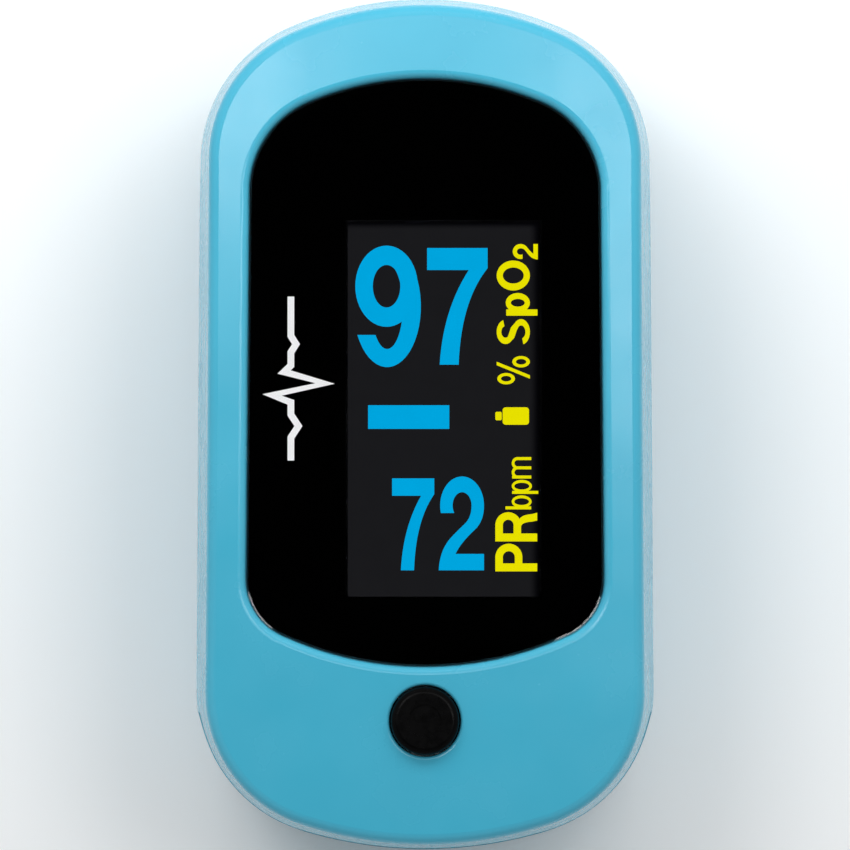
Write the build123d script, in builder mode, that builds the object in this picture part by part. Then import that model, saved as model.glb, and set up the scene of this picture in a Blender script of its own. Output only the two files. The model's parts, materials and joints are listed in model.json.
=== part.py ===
"""Fingertip pulse oximeter: a clamp of two hinged halves with a display on top and two AAA cells below.

Millimetres. Z is up and 0 is the resting face. Y runs along the finger: the fingertip enters at the front,
-Y, and the hinge and the squeeze grip are at the rear, +Y. X runs across.
"""

import os
from math import radians, sqrt, tan

from build123d import *

os.makedirs("parts", exist_ok=True)

# ---------------------------------------------------------------- driving dimensions

body_length = 57.8  # at the parting plane; both ends are cut back there, which leaves 57.5 overall
rear_half_width = 15.2
front_half_width = 15.5
rear_end_radius = 23.0
front_end_radius = 27.0
body_corner_radius = 10.0
total_height = 32.0
wall = 1.5
side_draft = 3.2  # degrees that both halves' sides lean in, away from the parting plane

parting_z = 17.0
shell_gap = 0.15  # each shell stops this far from the parting plane
frame_gap = 0.7  # each inner frame stops this far from it, and the pad's rim fills the rest
wedge_angle = 11.5  # degrees that each half is cut back behind the hinge, to leave room to squeeze

crown_top = 32.0
crown_radius_across = 110.0
crown_radius_along = 300.0
top_wall = 1.6
shoulder_radius = 0.8
base_edge_radius = 1.5

mouth_y = -19.4  # the sides are cut away in front of this, where the finger enters
upper_mouth_z = 21.3
lower_mouth_z = 15.2
mouth_half_width = 9.6
mouth_corner = 2.0
mouth_arch_rise = 0.6  # between the pad's trough and the cut for it in the shell
mouth_arch_base = 0.5

window_rear_y = 23.2
window_front_y = -16.2
window_rear_half_width = 11.72
window_front_half_width = 12.0
window_rear_radius = 20.0
window_front_radius = 23.0
window_rear_corner = 6.5
window_front_corner = 4.1
window_top = 30.5
window_thickness = 0.95
window_gap = 0.06
window_bevel = 0.12
lip_radius = 0.5  # the cover's rounded edge round the window
mask_thickness = 0.05
mask_gap = 0.02
mask_inset = 0.1
mask_margin = 0.15  # between the lit screen and the clear opening in the mask
adhesive_thickness = 0.1
adhesive_inset = 0.15
ledge_width = 1.2
ledge_thickness = 0.75
ledge_rim = 0.9  # how far the cover's rim round the ledge stands out past the window
boss_radius = 1.9
pilot_radius = 0.85
pilot_depth = 3.6

screen_x = (-5.18, 7.68)
screen_y = (-11.53, 13.59)

button_y = -19.85
button_radius = 2.3
button_gap = 0.1
button_hole_edge = 0.2

hinge_y = 13.0
pin_radius = 1.0
pin_half_length = 12.0
pin_running_gap = 0.05
ear_radius = 2.5
ear_gap = 0.3
upper_ear = (8.4, 10.0)  # from and to, across the body
lower_ear = (10.2, 11.8)

channel_half_width = 8.0
channel_floor = 14.8
channel_roof = 22.1
pad_thickness = 1.0
pad_gap = 0.08
pad_room = 0.3  # each frame's trough is this much wider than the pad on each side
pad_rear_y = 9.5
pad_front_y = -25.6
sensor_y = -4.0

cell_radius = 5.25
cell_length = 44.5
cell_x = 5.45
cell_z = 6.85
bay_half_width = 10.9
bay_front_y = -23.9
bay_rear_y = 23.5
bay_wall = 1.1
bay_roof = 12.25
bay_roof_thickness = 0.8
contact_thickness = 0.4

cover_thickness = 1.4
cover_half_width = 11.9
cover_rear_y = 24.2
cover_corner = 3.0
bay_corner = 2.0
cover_gap = 0.15
tongue_width = 0.6
tongue_z = 0.7

board_bottom = 25.8
board_thickness = 1.0
display_glass_bottom = 27.9
display_glass_thickness = 1.4

cover_screw_places = [(-10.8, 20.8), (10.8, 20.8), (-10.8, -21.0), (10.8, -21.0)]
frame_screw_places = [(-9.6, 20.0), (9.6, 20.0), (-9.6, -16.5), (9.6, -16.5)]

# ---------------------------------------------------------------- heights and places that follow

upper_edge = parting_z + shell_gap
lower_edge = parting_z - shell_gap
upper_frame_edge = parting_z + frame_gap
lower_frame_edge = parting_z - frame_gap
frame_floor = bay_roof + bay_roof_thickness + 0.1
upper_frame_top = 24.5
pocket_roof = 23.3
pocket_floor = 13.8
boss_bottom = upper_frame_top + 0.1
window_bottom = window_top - window_thickness
mask_bottom = window_bottom - mask_gap - mask_thickness
ledge_top = mask_bottom - adhesive_thickness
ledge_bottom = ledge_top - ledge_thickness
board_top = board_bottom + board_thickness
glass_top = display_glass_bottom + display_glass_thickness
screen_size = (screen_x[1] - screen_x[0], screen_y[1] - screen_y[0])
screen_centre = ((screen_x[0] + screen_x[1]) / 2, (screen_y[0] + screen_y[1]) / 2)
lower_hull_base_inset = lower_edge * tan(radians(side_draft))
front_y = -body_length / 2
rear_y = body_length / 2
clear_of_body = 40.0


def end_plan(rear, front, rear_half, front_half, rear_radius, front_radius, rear_corner, front_corner):
    """A closed outline: straight tapering sides, a wide arc across each end and a rounded corner between."""
    rear_side_y = rear - rear_radius + sqrt(rear_radius**2 - rear_half**2)
    front_side_y = front + front_radius - sqrt(front_radius**2 - front_half**2)
    with BuildSketch() as outline:
        with BuildLine():
            rear_arc = ThreePointArc((rear_half, rear_side_y), (0, rear), (-rear_half, rear_side_y))
            front_arc = ThreePointArc((-front_half, front_side_y), (0, front), (front_half, front_side_y))
            Line(rear_arc @ 1, front_arc @ 0)
            Line(front_arc @ 1, rear_arc @ 0)
        make_face()
        fillet(outline.vertices().group_by(Axis.Y)[-1], rear_corner)
        fillet(outline.vertices().group_by(Axis.Y)[0], front_corner)
    return outline.sketch


def body_plan(inset=0.0):
    """The body's outline, moved in by inset."""
    return end_plan(
        rear_y - inset,
        front_y + inset,
        rear_half_width - inset,
        front_half_width - inset,
        rear_end_radius - inset,
        front_end_radius - inset,
        body_corner_radius - inset,
        body_corner_radius - inset,
    )


def window_plan(inset=0.0):
    """The window's outline, moved in by inset, or out where inset is negative."""
    return end_plan(
        window_rear_y - inset,
        window_front_y + inset,
        window_rear_half_width - inset,
        window_front_half_width - inset,
        window_rear_radius - inset,
        window_front_radius - inset,
        window_rear_corner - inset,
        window_front_corner - inset,
    )


def prism(plan, bottom, top, taper=0.0):
    """A straight or drafted block on a plan."""
    with BuildPart() as block:
        with BuildSketch(Plane.XY.offset(bottom)):
            add(plan)
        extrude(amount=top - bottom, taper=taper)
    return block.part


def crown_barrel(top):
    """A barrel about a line below the body, whose upper side is the crown: curved across and, less, along."""
    sag = clear_of_body**2 / (2 * crown_radius_along)
    axis_z = top - crown_radius_across
    with BuildPart() as barrel:
        with BuildSketch(Plane.YZ):
            with BuildLine():
                ridge = ThreePointArc((-clear_of_body, top - sag), (0, top), (clear_of_body, top - sag))
                Polyline(ridge @ 1, (clear_of_body, axis_z), (-clear_of_body, axis_z), ridge @ 0)
            make_face()
        revolve(axis=Axis((0, 0, axis_z), (0, 1, 0)))
    return barrel.part


def side_cut(points, corner=0.0):
    """A block right across the body with a profile of (y, z) points, its corners rounded by corner."""
    with BuildPart() as block:
        with BuildSketch(Plane.YZ) as profile:
            with BuildLine():
                Polyline(*points, close=True)
            make_face()
            if corner:
                fillet(profile.vertices(), corner)
        extrude(amount=clear_of_body / 2, both=True)
    return block.part


def arch(half_width, base, crest):
    """The (x, z) area between a level base line and an arc over or under it, out to half_width."""
    with BuildSketch() as area:
        with BuildLine():
            bow = ThreePointArc((-half_width, base), (0, crest), (half_width, base))
            Line(bow @ 1, bow @ 0)
        make_face()
    return area.sketch


def along_finger(section, front, rear):
    """A block with an (x, z) section, from front to rear."""
    with BuildPart() as block:
        with BuildSketch(Plane.XZ.offset(-(front + rear) / 2)):
            add(section)
        extrude(amount=(rear - front) / 2, both=True)
    return block.part


def wedge(edge, direction):
    """All that lies beyond a half's sloping edge behind the hinge; direction is 1 for the upper half."""
    rise = direction * (clear_of_body - hinge_y) * tan(radians(wedge_angle))
    far = parting_z - direction * clear_of_body
    return side_cut([(hinge_y, edge), (clear_of_body, edge + rise), (clear_of_body, far), (hinge_y, far)])


def mouth(edge, direction, recess=0.0):
    """The cut-away at the finger's entry, with its inner corner rounded."""
    far = parting_z - direction * clear_of_body
    front = -clear_of_body
    rear = mouth_y - recess
    return side_cut([(rear, far), (rear, edge), (front, edge), (front, far)], mouth_corner)


def cross_rod(radius, low_x, high_x):
    """A rod along the hinge axis."""
    with BuildPart() as rod:
        with BuildSketch(Plane.YZ.offset(low_x)):
            with Locations((hinge_y, parting_z)):
                Circle(radius)
        extrude(amount=high_x - low_x)
    return rod.part


def finish(builder, name):
    """Name a finished piece and write it."""
    builder.part.label = name
    export_step(builder.part, f"parts/{name}.step")


# ---------------------------------------------------------------- shared blocks

side_planes = (-1, 1)
upper_hull_top = crown_top + 1.0
upper_hull = prism(body_plan(), upper_edge, upper_hull_top, side_draft)
outer_crown = crown_barrel(crown_top)
inner_crown = crown_barrel(crown_top - top_wall)
upper_wedge = wedge(upper_edge, 1)
lower_wedge = wedge(lower_edge, -1)
upper_mouth = mouth(upper_mouth_z, 1)
lower_mouth = mouth(lower_mouth_z, -1)
roof_arch = arch(channel_half_width, upper_edge, channel_roof)
floor_arch = arch(channel_half_width, lower_edge, channel_floor)
trough_half_width = channel_half_width + pad_thickness + pad_room
pad_roof_arch = arch(trough_half_width, upper_edge, channel_roof + pad_thickness)
pad_floor_arch = arch(trough_half_width, lower_edge, channel_floor - pad_thickness)

with BuildPart() as upper_blank:
    add(upper_hull)
    add(outer_crown, mode=Mode.INTERSECT)
    fillet(upper_blank.faces().sort_by(Axis.Z)[-1].edges(), shoulder_radius)

with BuildPart() as lower_blank:
    with BuildSketch(Plane.XY):
        add(body_plan(lower_hull_base_inset))
    extrude(amount=lower_edge, taper=-side_draft)
    fillet(lower_blank.faces().sort_by(Axis.Z)[0].edges(), base_edge_radius)

# ---------------------------------------------------------------- upper half: shell, window and button

upper_mouth_crest = channel_roof + pad_thickness + mouth_arch_rise
upper_mouth_arch = arch(mouth_half_width, upper_mouth_z - mouth_arch_base, upper_mouth_crest)
lower_mouth_arch = arch(mouth_half_width, lower_mouth_z + mouth_arch_base, channel_floor - mouth_arch_rise)

with BuildPart() as cover_inside:
    add(prism(body_plan(wall), upper_edge, upper_hull_top, side_draft))
    add(inner_crown, mode=Mode.INTERSECT)

with BuildPart() as upper_cover:
    add(upper_blank.part)
    add(cover_inside.part, mode=Mode.SUBTRACT)
    # rim that carries the window's ledge, held inside the outer skin
    add(prism(window_plan(-ledge_rim), ledge_bottom, window_bottom))
    # screw bosses
    with BuildSketch(Plane.XY.offset(boss_bottom)):
        with Locations(*cover_screw_places):
            Circle(boss_radius)
    extrude(amount=ledge_top - boss_bottom)
    # window seat and the opening inside its ledge
    add(prism(window_plan(-window_gap), ledge_top, total_height + 1), mode=Mode.SUBTRACT)
    add(prism(window_plan(ledge_width), ledge_bottom - 1, total_height + 1), mode=Mode.SUBTRACT)
    # button hole
    with BuildSketch(Plane.XY.offset(ledge_bottom)):
        with Locations((0, button_y)):
            Circle(button_radius + button_gap)
    extrude(amount=total_height - ledge_bottom, mode=Mode.SUBTRACT)
    # rounded lips round the window and the button
    openings = upper_cover.faces().sort_by(Axis.Z)[-1].inner_wires().sort_by(SortBy.LENGTH)
    fillet(openings[-1].edges(), lip_radius)
    openings = upper_cover.faces().sort_by(Axis.Z)[-1].inner_wires().sort_by(SortBy.LENGTH)
    fillet(openings[0].edges(), button_hole_edge)
    # pilot holes
    with BuildSketch(Plane.XY.offset(boss_bottom)):
        with Locations(*cover_screw_places):
            Circle(pilot_radius)
    extrude(amount=pilot_depth, mode=Mode.SUBTRACT)
    add(upper_wedge, mode=Mode.SUBTRACT)
    add(upper_mouth, mode=Mode.SUBTRACT)
    add(along_finger(upper_mouth_arch, front_y - 1, mouth_y), mode=Mode.SUBTRACT)
finish(upper_cover, "upper_cover")

with BuildPart() as display_window:
    add(prism(window_plan(), window_bottom, window_top))
    chamfer(display_window.faces().sort_by(Axis.Z)[-1].edges(), window_bevel)
finish(display_window, "display_window")

with BuildPart() as window_mask:
    add(prism(window_plan(mask_inset), mask_bottom, mask_bottom + mask_thickness))
    with BuildSketch(Plane.XY.offset(mask_bottom)):
        with Locations(screen_centre):
            Rectangle(screen_size[0] + 2 * mask_margin, screen_size[1] + 2 * mask_margin)
    extrude(amount=mask_thickness, mode=Mode.SUBTRACT)
finish(window_mask, "window_mask")

with BuildPart() as window_adhesive:
    add(prism(window_plan(adhesive_inset), ledge_top, mask_bottom))
    add(prism(window_plan(ledge_width), ledge_top - 1, mask_bottom + 1), mode=Mode.SUBTRACT)
finish(window_adhesive, "window_adhesive")

button_skirt_bottom = 29.0
button_lug_top = 29.5
plunger_top = 28.7
button_edge = 0.45
button_dimple_radius = 1.1
button_dimple_depth = 0.12
button_lugs = (6.8, 3.0)
button_stem_radius = 0.9
with BuildPart() as power_button:
    with BuildSketch(Plane.XY.offset(button_skirt_bottom)):
        with Locations((0, button_y)):
            Circle(button_radius)
    extrude(amount=total_height - button_skirt_bottom)
    fillet(power_button.edges().group_by(Axis.Z)[-1], button_edge)
    # dimple for the fingertip
    with BuildSketch(Plane.XY.offset(total_height - button_dimple_depth)):
        with Locations((0, button_y)):
            Circle(button_dimple_radius)
    extrude(amount=button_dimple_depth, mode=Mode.SUBTRACT)
    # side lugs that keep the button in its hole
    with BuildSketch(Plane.XY.offset(button_skirt_bottom)):
        with Locations((0, button_y)):
            Rectangle(*button_lugs)
    extrude(amount=button_lug_top - button_skirt_bottom)
    # stem that meets the switch
    with BuildSketch(Plane.XY.offset(plunger_top)):
        with Locations((0, button_y)):
            Circle(button_stem_radius)
    extrude(amount=button_skirt_bottom - plunger_top)
finish(power_button, "power_button")

# ---------------------------------------------------------------- upper half: display stack

glass_size = (16.4, 30.0)
driver_ledge = 2.4
driver_ledge_y = screen_centre[1] - (glass_size[1] - driver_ledge) / 2
driver_chip = (10.0, 1.1, 0.35)
driver_chip_shift = 0.3
holder_size = (glass_size[0] + 1.6, glass_size[1] + 1.2)
holder_opening = (glass_size[0] - 3.0, glass_size[1] - 4.0)
holder_corner = 0.8
holder_flex_gap = (11.0, 5.0)
gasket_inset = 0.4
gasket_step = 0.8
with BuildPart() as display_panel:
    with BuildSketch(Plane.XY.offset(display_glass_bottom)):
        with Locations(screen_centre):
            Rectangle(*glass_size)
    extrude(amount=display_glass_thickness)
    # the rear glass stands out past the front glass and carries the driver chip
    with BuildSketch(Plane.XY.offset(display_glass_bottom + display_glass_thickness / 2)):
        with Locations((screen_centre[0], driver_ledge_y)):
            Rectangle(glass_size[0], driver_ledge)
    extrude(amount=display_glass_thickness, mode=Mode.SUBTRACT)
    with BuildSketch(Plane.XY.offset(display_glass_bottom + display_glass_thickness / 2)):
        with Locations((screen_centre[0], driver_ledge_y + driver_chip_shift)):
            Rectangle(driver_chip[0], driver_chip[1])
    extrude(amount=driver_chip[2])
finish(display_panel, "display_panel")

with BuildPart() as display_holder:
    with BuildSketch(Plane.XY.offset(board_top)):
        with Locations(screen_centre):
            RectangleRounded(*holder_size, holder_corner)
            Rectangle(*holder_opening, mode=Mode.SUBTRACT)
    extrude(amount=display_glass_bottom - board_top)
    # gap at the front for the display's flex
    with BuildSketch(Plane.XY.offset(board_top)):
        with Locations((screen_centre[0], screen_centre[1] - glass_size[1] / 2)):
            Rectangle(*holder_flex_gap)
    extrude(amount=display_glass_bottom - board_top, mode=Mode.SUBTRACT)
finish(display_holder, "display_holder")

with BuildPart() as display_gasket:
    with BuildSketch(Plane.XY.offset(glass_top)):
        with Locations((screen_centre[0], screen_centre[1] + driver_ledge / 2)):
            Rectangle(glass_size[0] - gasket_inset, glass_size[1] - driver_ledge - gasket_inset)
        with Locations(screen_centre):
            Rectangle(screen_size[0] + gasket_step, screen_size[1] + gasket_step, mode=Mode.SUBTRACT)
    extrude(amount=mask_bottom - glass_top)
finish(display_gasket, "display_gasket")

flex_thickness = 0.2
flex_half_width = 5.0
flex_overlap = 1.0  # under the glass
flex_return = 1.8  # back over the board
flex_bend_y = screen_centre[1] - glass_size[1] / 2 - 0.4
panel_front_y = screen_centre[1] - glass_size[1] / 2
flex_upper_z = display_glass_bottom - 0.02 - flex_thickness / 2
flex_lower_z = board_top + 0.02 + flex_thickness / 2
with BuildPart() as display_flex:
    with BuildSketch(Plane.YZ.offset(screen_centre[0])):
        with BuildLine():
            upper_run = Line((panel_front_y + flex_overlap, flex_upper_z), (flex_bend_y, flex_upper_z))
            turn = TangentArc(upper_run @ 1, (flex_bend_y, flex_lower_z), tangent=upper_run % 1)
            Line(turn @ 1, (panel_front_y + flex_return, flex_lower_z))
        trace(line_width=flex_thickness)
    extrude(amount=flex_half_width, both=True)
finish(display_flex, "display_flex")

# ---------------------------------------------------------------- upper half: main board

boss_clearance = 2.2
board_inset = 2.5
flex_slot = 5.6
flex_y = 11.2  # where the flex cable between the halves rises, between the fingertip stop and the hinge pin
with BuildPart() as main_board:
    with BuildSketch(Plane.XY.offset(board_bottom)):
        add(body_plan(board_inset))
        with Locations(*cover_screw_places):
            Circle(boss_clearance, mode=Mode.SUBTRACT)
    extrude(amount=board_thickness)
finish(main_board, "main_board")

switch_size = 5.0
switch_top = 28.2
switch_corner = 0.4
switch_well = (1.25, 0.8)  # radius and depth
switch_plunger_radius = 1.1
switch_plunger_sunk = 0.3
switch_plunger_edge = 0.15
with BuildPart() as switch_body:
    with BuildSketch(Plane.XY.offset(board_top)):
        with Locations((0, button_y)):
            Rectangle(switch_size, switch_size)
    extrude(amount=switch_top - board_top)
    chamfer(switch_body.edges().filter_by(Axis.Z), switch_corner)
    with BuildSketch(Plane.XY.offset(switch_top)):
        with Locations((0, button_y)):
            Circle(switch_well[0])
    extrude(amount=-switch_well[1], mode=Mode.SUBTRACT)
finish(switch_body, "switch_body")

with BuildPart() as switch_plunger:
    with BuildSketch(Plane.XY.offset(switch_top - switch_plunger_sunk)):
        with Locations((0, button_y)):
            Circle(switch_plunger_radius)
    extrude(amount=plunger_top - switch_top + switch_plunger_sunk)
    fillet(switch_plunger.edges().group_by(Axis.Z)[-1], switch_plunger_edge)
finish(switch_plunger, "switch_plunger")


chip_stand_off = 0.1
chip_edge = 0.12
chip_lead = (1.2, 0.3, 0.25)


def chip(centre, width, length, height, leads_a_side):
    """A square-bodied chip hanging under the main board, with flat leads along two sides."""
    with BuildPart() as package:
        with BuildSketch(Plane.XY.offset(board_bottom - height)):
            with Locations(centre):
                Rectangle(width, length)
        extrude(amount=height - chip_stand_off)
        chamfer(package.edges().group_by(Axis.Z)[0], chip_edge)
        with BuildSketch(Plane.XY.offset(board_bottom - chip_lead[2])):
            with Locations(centre):
                with GridLocations(width, length / (leads_a_side + 1), 2, leads_a_side):
                    Rectangle(chip_lead[0], chip_lead[1])
        extrude(amount=chip_lead[2])
    return package


finish(chip((-5.0, 3.0), 6.0, 6.0, 1.0, 8), "microcontroller")
finish(chip((5.5, 3.0), 4.4, 5.0, 0.95, 6), "analog_front_end")

passive_places = [(x, y) for y in (-12.0, -9.5, 8.0, 10.0) for x in (-7.5, -4.5, 4.5, 7.5)]
passive_size = (1.6, 0.8, 0.5)
inductor_y = -13.5
inductor_size = (3.0, 0.6, 1.1)  # side, corner radius and height
with BuildPart() as board_passives:
    with BuildSketch(Plane.XY.offset(board_bottom - passive_size[2])):
        with Locations(*passive_places):
            Rectangle(passive_size[0], passive_size[1])
    extrude(amount=passive_size[2])
    # inductor of the display supply
    with BuildSketch(Plane.XY.offset(board_bottom - inductor_size[2])):
        with Locations((0, inductor_y)):
            RectangleRounded(inductor_size[0], inductor_size[0], inductor_size[1])
    extrude(amount=inductor_size[2])
finish(board_passives, "board_passives")

connector_mouth_y = flex_y + 0.55
connector_depth = 2.2
connector_height = 1.0
connector_half_width = 3.4
connector_slot = (1.6, 0.3)
with BuildPart() as flex_connector:
    with BuildSketch(Plane.YZ):
        with BuildLine():
            Polyline(
                (connector_mouth_y, board_bottom - connector_height),
                (connector_mouth_y + connector_depth, board_bottom - connector_height),
                (connector_mouth_y + connector_depth, board_bottom),
                (connector_mouth_y, board_bottom),
                close=True,
            )
        make_face()
        with Locations((connector_mouth_y + connector_slot[0] / 2, board_bottom - connector_height / 2)):
            Rectangle(*connector_slot, mode=Mode.SUBTRACT)
    extrude(amount=connector_half_width, both=True)
finish(flex_connector, "flex_connector")

# ---------------------------------------------------------------- upper half: frame and pad

frame_side_gap = 0.2
upper_frame_inset = wall + (upper_frame_top - upper_edge) * tan(radians(side_draft)) + frame_side_gap
spring_pocket_half = 8.2
spring_pocket_front = 10.7
spring_pocket_rear = 23.6
post_places = [(-8.5, -14.5), (8.5, -14.5), (-8.5, 17.0), (8.5, 17.0)]
screw_radius = 0.8
screw_hole = 0.95
head_radius = 1.5
cover_screw_head_top = 22.9
emitter_pocket = (9.4, 7.4)
window_hole = (6.0, 5.0)
wall_pocket_x = 11.2
wall_pocket_width = 1.7
wall_pocket_skin = 1.2
upper_wall_pocket = (-4.0, 24.0)  # centre and length along the body
lower_wall_pocket = (-1.5, 19.0)
post_radius = 1.3
post_sunk = 0.2
ear_leg = 3.0
ear_side_gap = 0.1
pin_end_gap = 0.3
pad_end_gap = 0.1
flex_slot_length = 1.6
flex_slot_shift = 0.3
head_room = 0.2

with BuildPart() as spring_pocket_block:
    with BuildSketch(Plane.XY):
        with Locations((0, (spring_pocket_front + spring_pocket_rear) / 2)):
            Rectangle(2 * spring_pocket_half, spring_pocket_rear - spring_pocket_front)
    extrude(amount=pocket_roof - lower_frame_edge)
upper_pocket = Pos(0, 0, lower_frame_edge) * spring_pocket_block.part
lower_pocket = Pos(0, 0, pocket_floor) * spring_pocket_block.part

with BuildPart() as upper_frame:
    add(prism(body_plan(upper_frame_inset), upper_frame_edge, upper_frame_top))
    add(along_finger(pad_roof_arch, front_y - 1, pad_rear_y + pad_end_gap), mode=Mode.SUBTRACT)
    # a slot through the floor in front of the spring pocket, wide enough for the flex cable
    add(upper_pocket, mode=Mode.SUBTRACT)
    with BuildSketch(Plane.XY.offset(pocket_roof)):
        with Locations((0, flex_y + flex_slot_shift)):
            Rectangle(flex_slot, flex_slot_length)
    extrude(amount=upper_frame_top - pocket_roof, mode=Mode.SUBTRACT)
    with BuildSketch(Plane.XY.offset(channel_roof)):
        with Locations((0, sensor_y)):
            Rectangle(*emitter_pocket)
    extrude(amount=upper_frame_top - channel_roof, mode=Mode.SUBTRACT)
    # pockets that keep the walls thin, open at the top
    with BuildSketch(Plane.XY.offset(upper_frame_edge + wall_pocket_skin)):
        with Locations((-wall_pocket_x, upper_wall_pocket[0]), (wall_pocket_x, upper_wall_pocket[0])):
            Rectangle(wall_pocket_width, upper_wall_pocket[1])
    extrude(amount=upper_frame_top, mode=Mode.SUBTRACT)
    # posts that the main board rests on
    with BuildSketch(Plane.XY.offset(pocket_roof + post_sunk)):
        with Locations(*post_places):
            Circle(post_radius)
    extrude(amount=board_bottom - pocket_roof - post_sunk)
    add(wedge(upper_frame_edge, 1), mode=Mode.SUBTRACT)
    add(mouth(upper_mouth_z + frame_side_gap, 1, frame_side_gap), mode=Mode.SUBTRACT)
    # room for the lower ears and the pin
    for side in side_planes:
        low, high = sorted((side * (lower_ear[0] - ear_side_gap), side * (pin_half_length + pin_end_gap)))
        add(cross_rod(ear_radius + ear_gap, low, high), mode=Mode.SUBTRACT)
    # the upper ears, each on a leg from the frame
    for side in side_planes:
        low, high = sorted((side * upper_ear[0], side * upper_ear[1]))
        add(cross_rod(ear_radius, low, high))
        with BuildSketch(Plane.YZ.offset(low)):
            with Locations((hinge_y, parting_z + ear_leg / 2)):
                Rectangle(2 * ear_radius, ear_leg)
        extrude(amount=high - low)
    add(cross_rod(pin_radius + pin_running_gap, -pin_half_length, pin_half_length), mode=Mode.SUBTRACT)
    # screw holes, counterbored from below
    with Locations(*[Location((x, y, upper_frame_edge), (180, 0, 0)) for x, y in cover_screw_places]):
        CounterBoreHole(screw_hole, head_radius + head_room, cover_screw_head_top - upper_frame_edge)
finish(upper_frame, "upper_frame")


rim_gap = 0.05
rim_half_width = 12.0


def pad_section(area, edge, direction):
    """The (x, z) section of a pad before its channel is cut: the trough and, along its edge, a flat rim."""
    rim = frame_gap - shell_gap - rim_gap
    with BuildSketch() as section:
        add(area)
        with Locations((0, edge + direction * rim / 2)):
            Rectangle(2 * rim_half_width, rim)
    return section.sketch


pad_upper_outer = arch(channel_half_width + pad_thickness, upper_edge, channel_roof + pad_thickness - pad_gap)
pad_lower_crest = channel_floor - pad_thickness + pad_gap
pad_lower_outer = arch(channel_half_width + pad_thickness, lower_edge, pad_lower_crest)

with BuildPart() as upper_finger_pad:
    add(along_finger(pad_section(pad_upper_outer, upper_edge, 1), pad_front_y, pad_rear_y))
    add(along_finger(roof_arch, front_y - 1, pad_rear_y - pad_thickness), mode=Mode.SUBTRACT)
    add(upper_mouth, mode=Mode.SUBTRACT)
    with BuildSketch(Plane.XY.offset(upper_edge)):
        with Locations((0, sensor_y)):
            Rectangle(*window_hole)
    extrude(amount=upper_frame_top - upper_edge, mode=Mode.SUBTRACT)
finish(upper_finger_pad, "upper_finger_pad")

optic_board = (9.0, 7.0)
optic_board_thickness = 0.6
optic_window_gap = 0.1
optic_window_thickness = 0.45
optic_window_corner = 0.6
optic_chip_corner = 0.3
optic_chip_gap = 0.02
optic_window_proud = 0.1  # how far the emitter's window stands out of the channel's roof
led_size = (3.2, 2.8)
photodiode_size = (4.0, 3.6)


def optic_plate(size, bottom, top, corner=0.0):
    """A small rectangular plate centred on the optical axis, its upright edges rounded by corner."""
    with BuildPart() as plate:
        with BuildSketch(Plane.XY.offset(bottom)):
            with Locations((0, sensor_y)):
                Rectangle(*size)
        extrude(amount=top - bottom)
        if corner:
            fillet(plate.edges().filter_by(Axis.Z), corner)
    return plate


window_size = (window_hole[0] - 2 * optic_window_gap, window_hole[1] - 2 * optic_window_gap)
emitter_board_bottom = 23.3
emitter_window_bottom = channel_roof - optic_window_proud
emitter_bottom = emitter_window_bottom + optic_window_thickness
emitter_board = optic_plate(optic_board, emitter_board_bottom, emitter_board_bottom + optic_board_thickness)
finish(emitter_board, "emitter_board")
emitter_led = optic_plate(led_size, emitter_bottom, emitter_board_bottom, optic_chip_corner)
finish(emitter_led, "emitter_led")
emitter_window_top = emitter_bottom - optic_chip_gap
emitter_window = optic_plate(window_size, emitter_window_bottom, emitter_window_top, optic_window_corner)
finish(emitter_window, "emitter_window")


head_edge = 0.25
cross_recess = (1.6, 0.32, 0.45)
screw_tip = 0.35
cover_screw_head_height = 1.2
cover_screw_shank = 5.0


def pan_screws(places, head_low, head_height, shank_length, radius):
    """Self-tapping screws that point up, with a cross recess in each head."""
    with BuildPart() as screws:
        with BuildSketch(Plane.XY.offset(head_low)):
            with Locations(*places):
                Circle(radius)
        extrude(amount=head_height)
        chamfer(screws.edges().group_by(Axis.Z)[0], head_edge)
        with BuildSketch(Plane.XY.offset(head_low)):
            with Locations(*places):
                Rectangle(cross_recess[0], cross_recess[1])
                Rectangle(cross_recess[1], cross_recess[0])
        extrude(amount=cross_recess[2], mode=Mode.SUBTRACT)
        with BuildSketch(Plane.XY.offset(head_low + head_height)):
            with Locations(*places):
                Circle(screw_radius)
        extrude(amount=shank_length)
        chamfer(screws.edges().group_by(Axis.Z)[-1], screw_tip)
    return screws


cover_screw_low = cover_screw_head_top - cover_screw_head_height
upper_screws = pan_screws(
    cover_screw_places, cover_screw_low, cover_screw_head_height, cover_screw_shank, head_radius
)
finish(upper_screws, "upper_screws")

# ---------------------------------------------------------------- lower half: housing and battery cover

frame_screw_head = 1.3
frame_screw_head_height = 0.8
frame_screw_shank = 2.4
frame_screw_hole_gap = 0.02
frame_screw_hole_depth = 1.75
sensor_board_thickness = 0.5
photodiode_top = channel_floor - 0.4
lanyard_hole_radius = 1.0
lanyard_y = 26.4
lanyard_notch_bottom = 6.0
lanyard_shelf_bottom = 10.6
lanyard_notch_half = 3.6
lanyard_notch_height = lanyard_shelf_bottom - lanyard_notch_bottom
lanyard_notch_corner = 1.2
lanyard_notch_front_y = 24.9
lanyard_block_half = 5.0
lanyard_block_front_y = 24.0
cover_tongue_x = cover_half_width + tongue_width
tab_places = [(-cell_x, bay_rear_y - contact_thickness / 2), (cell_x, bay_rear_y - contact_thickness / 2)]
tab_slot = (2.4, 0.8)
tongue_ends_y = (-18.0, 19.0)

with BuildSketch() as bay_plan:
    with Locations((0, (bay_front_y + bay_rear_y) / 2)):
        Rectangle(2 * bay_half_width, bay_rear_y - bay_front_y)
    fillet(bay_plan.vertices().group_by(Axis.Y)[-1], bay_corner)


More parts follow.
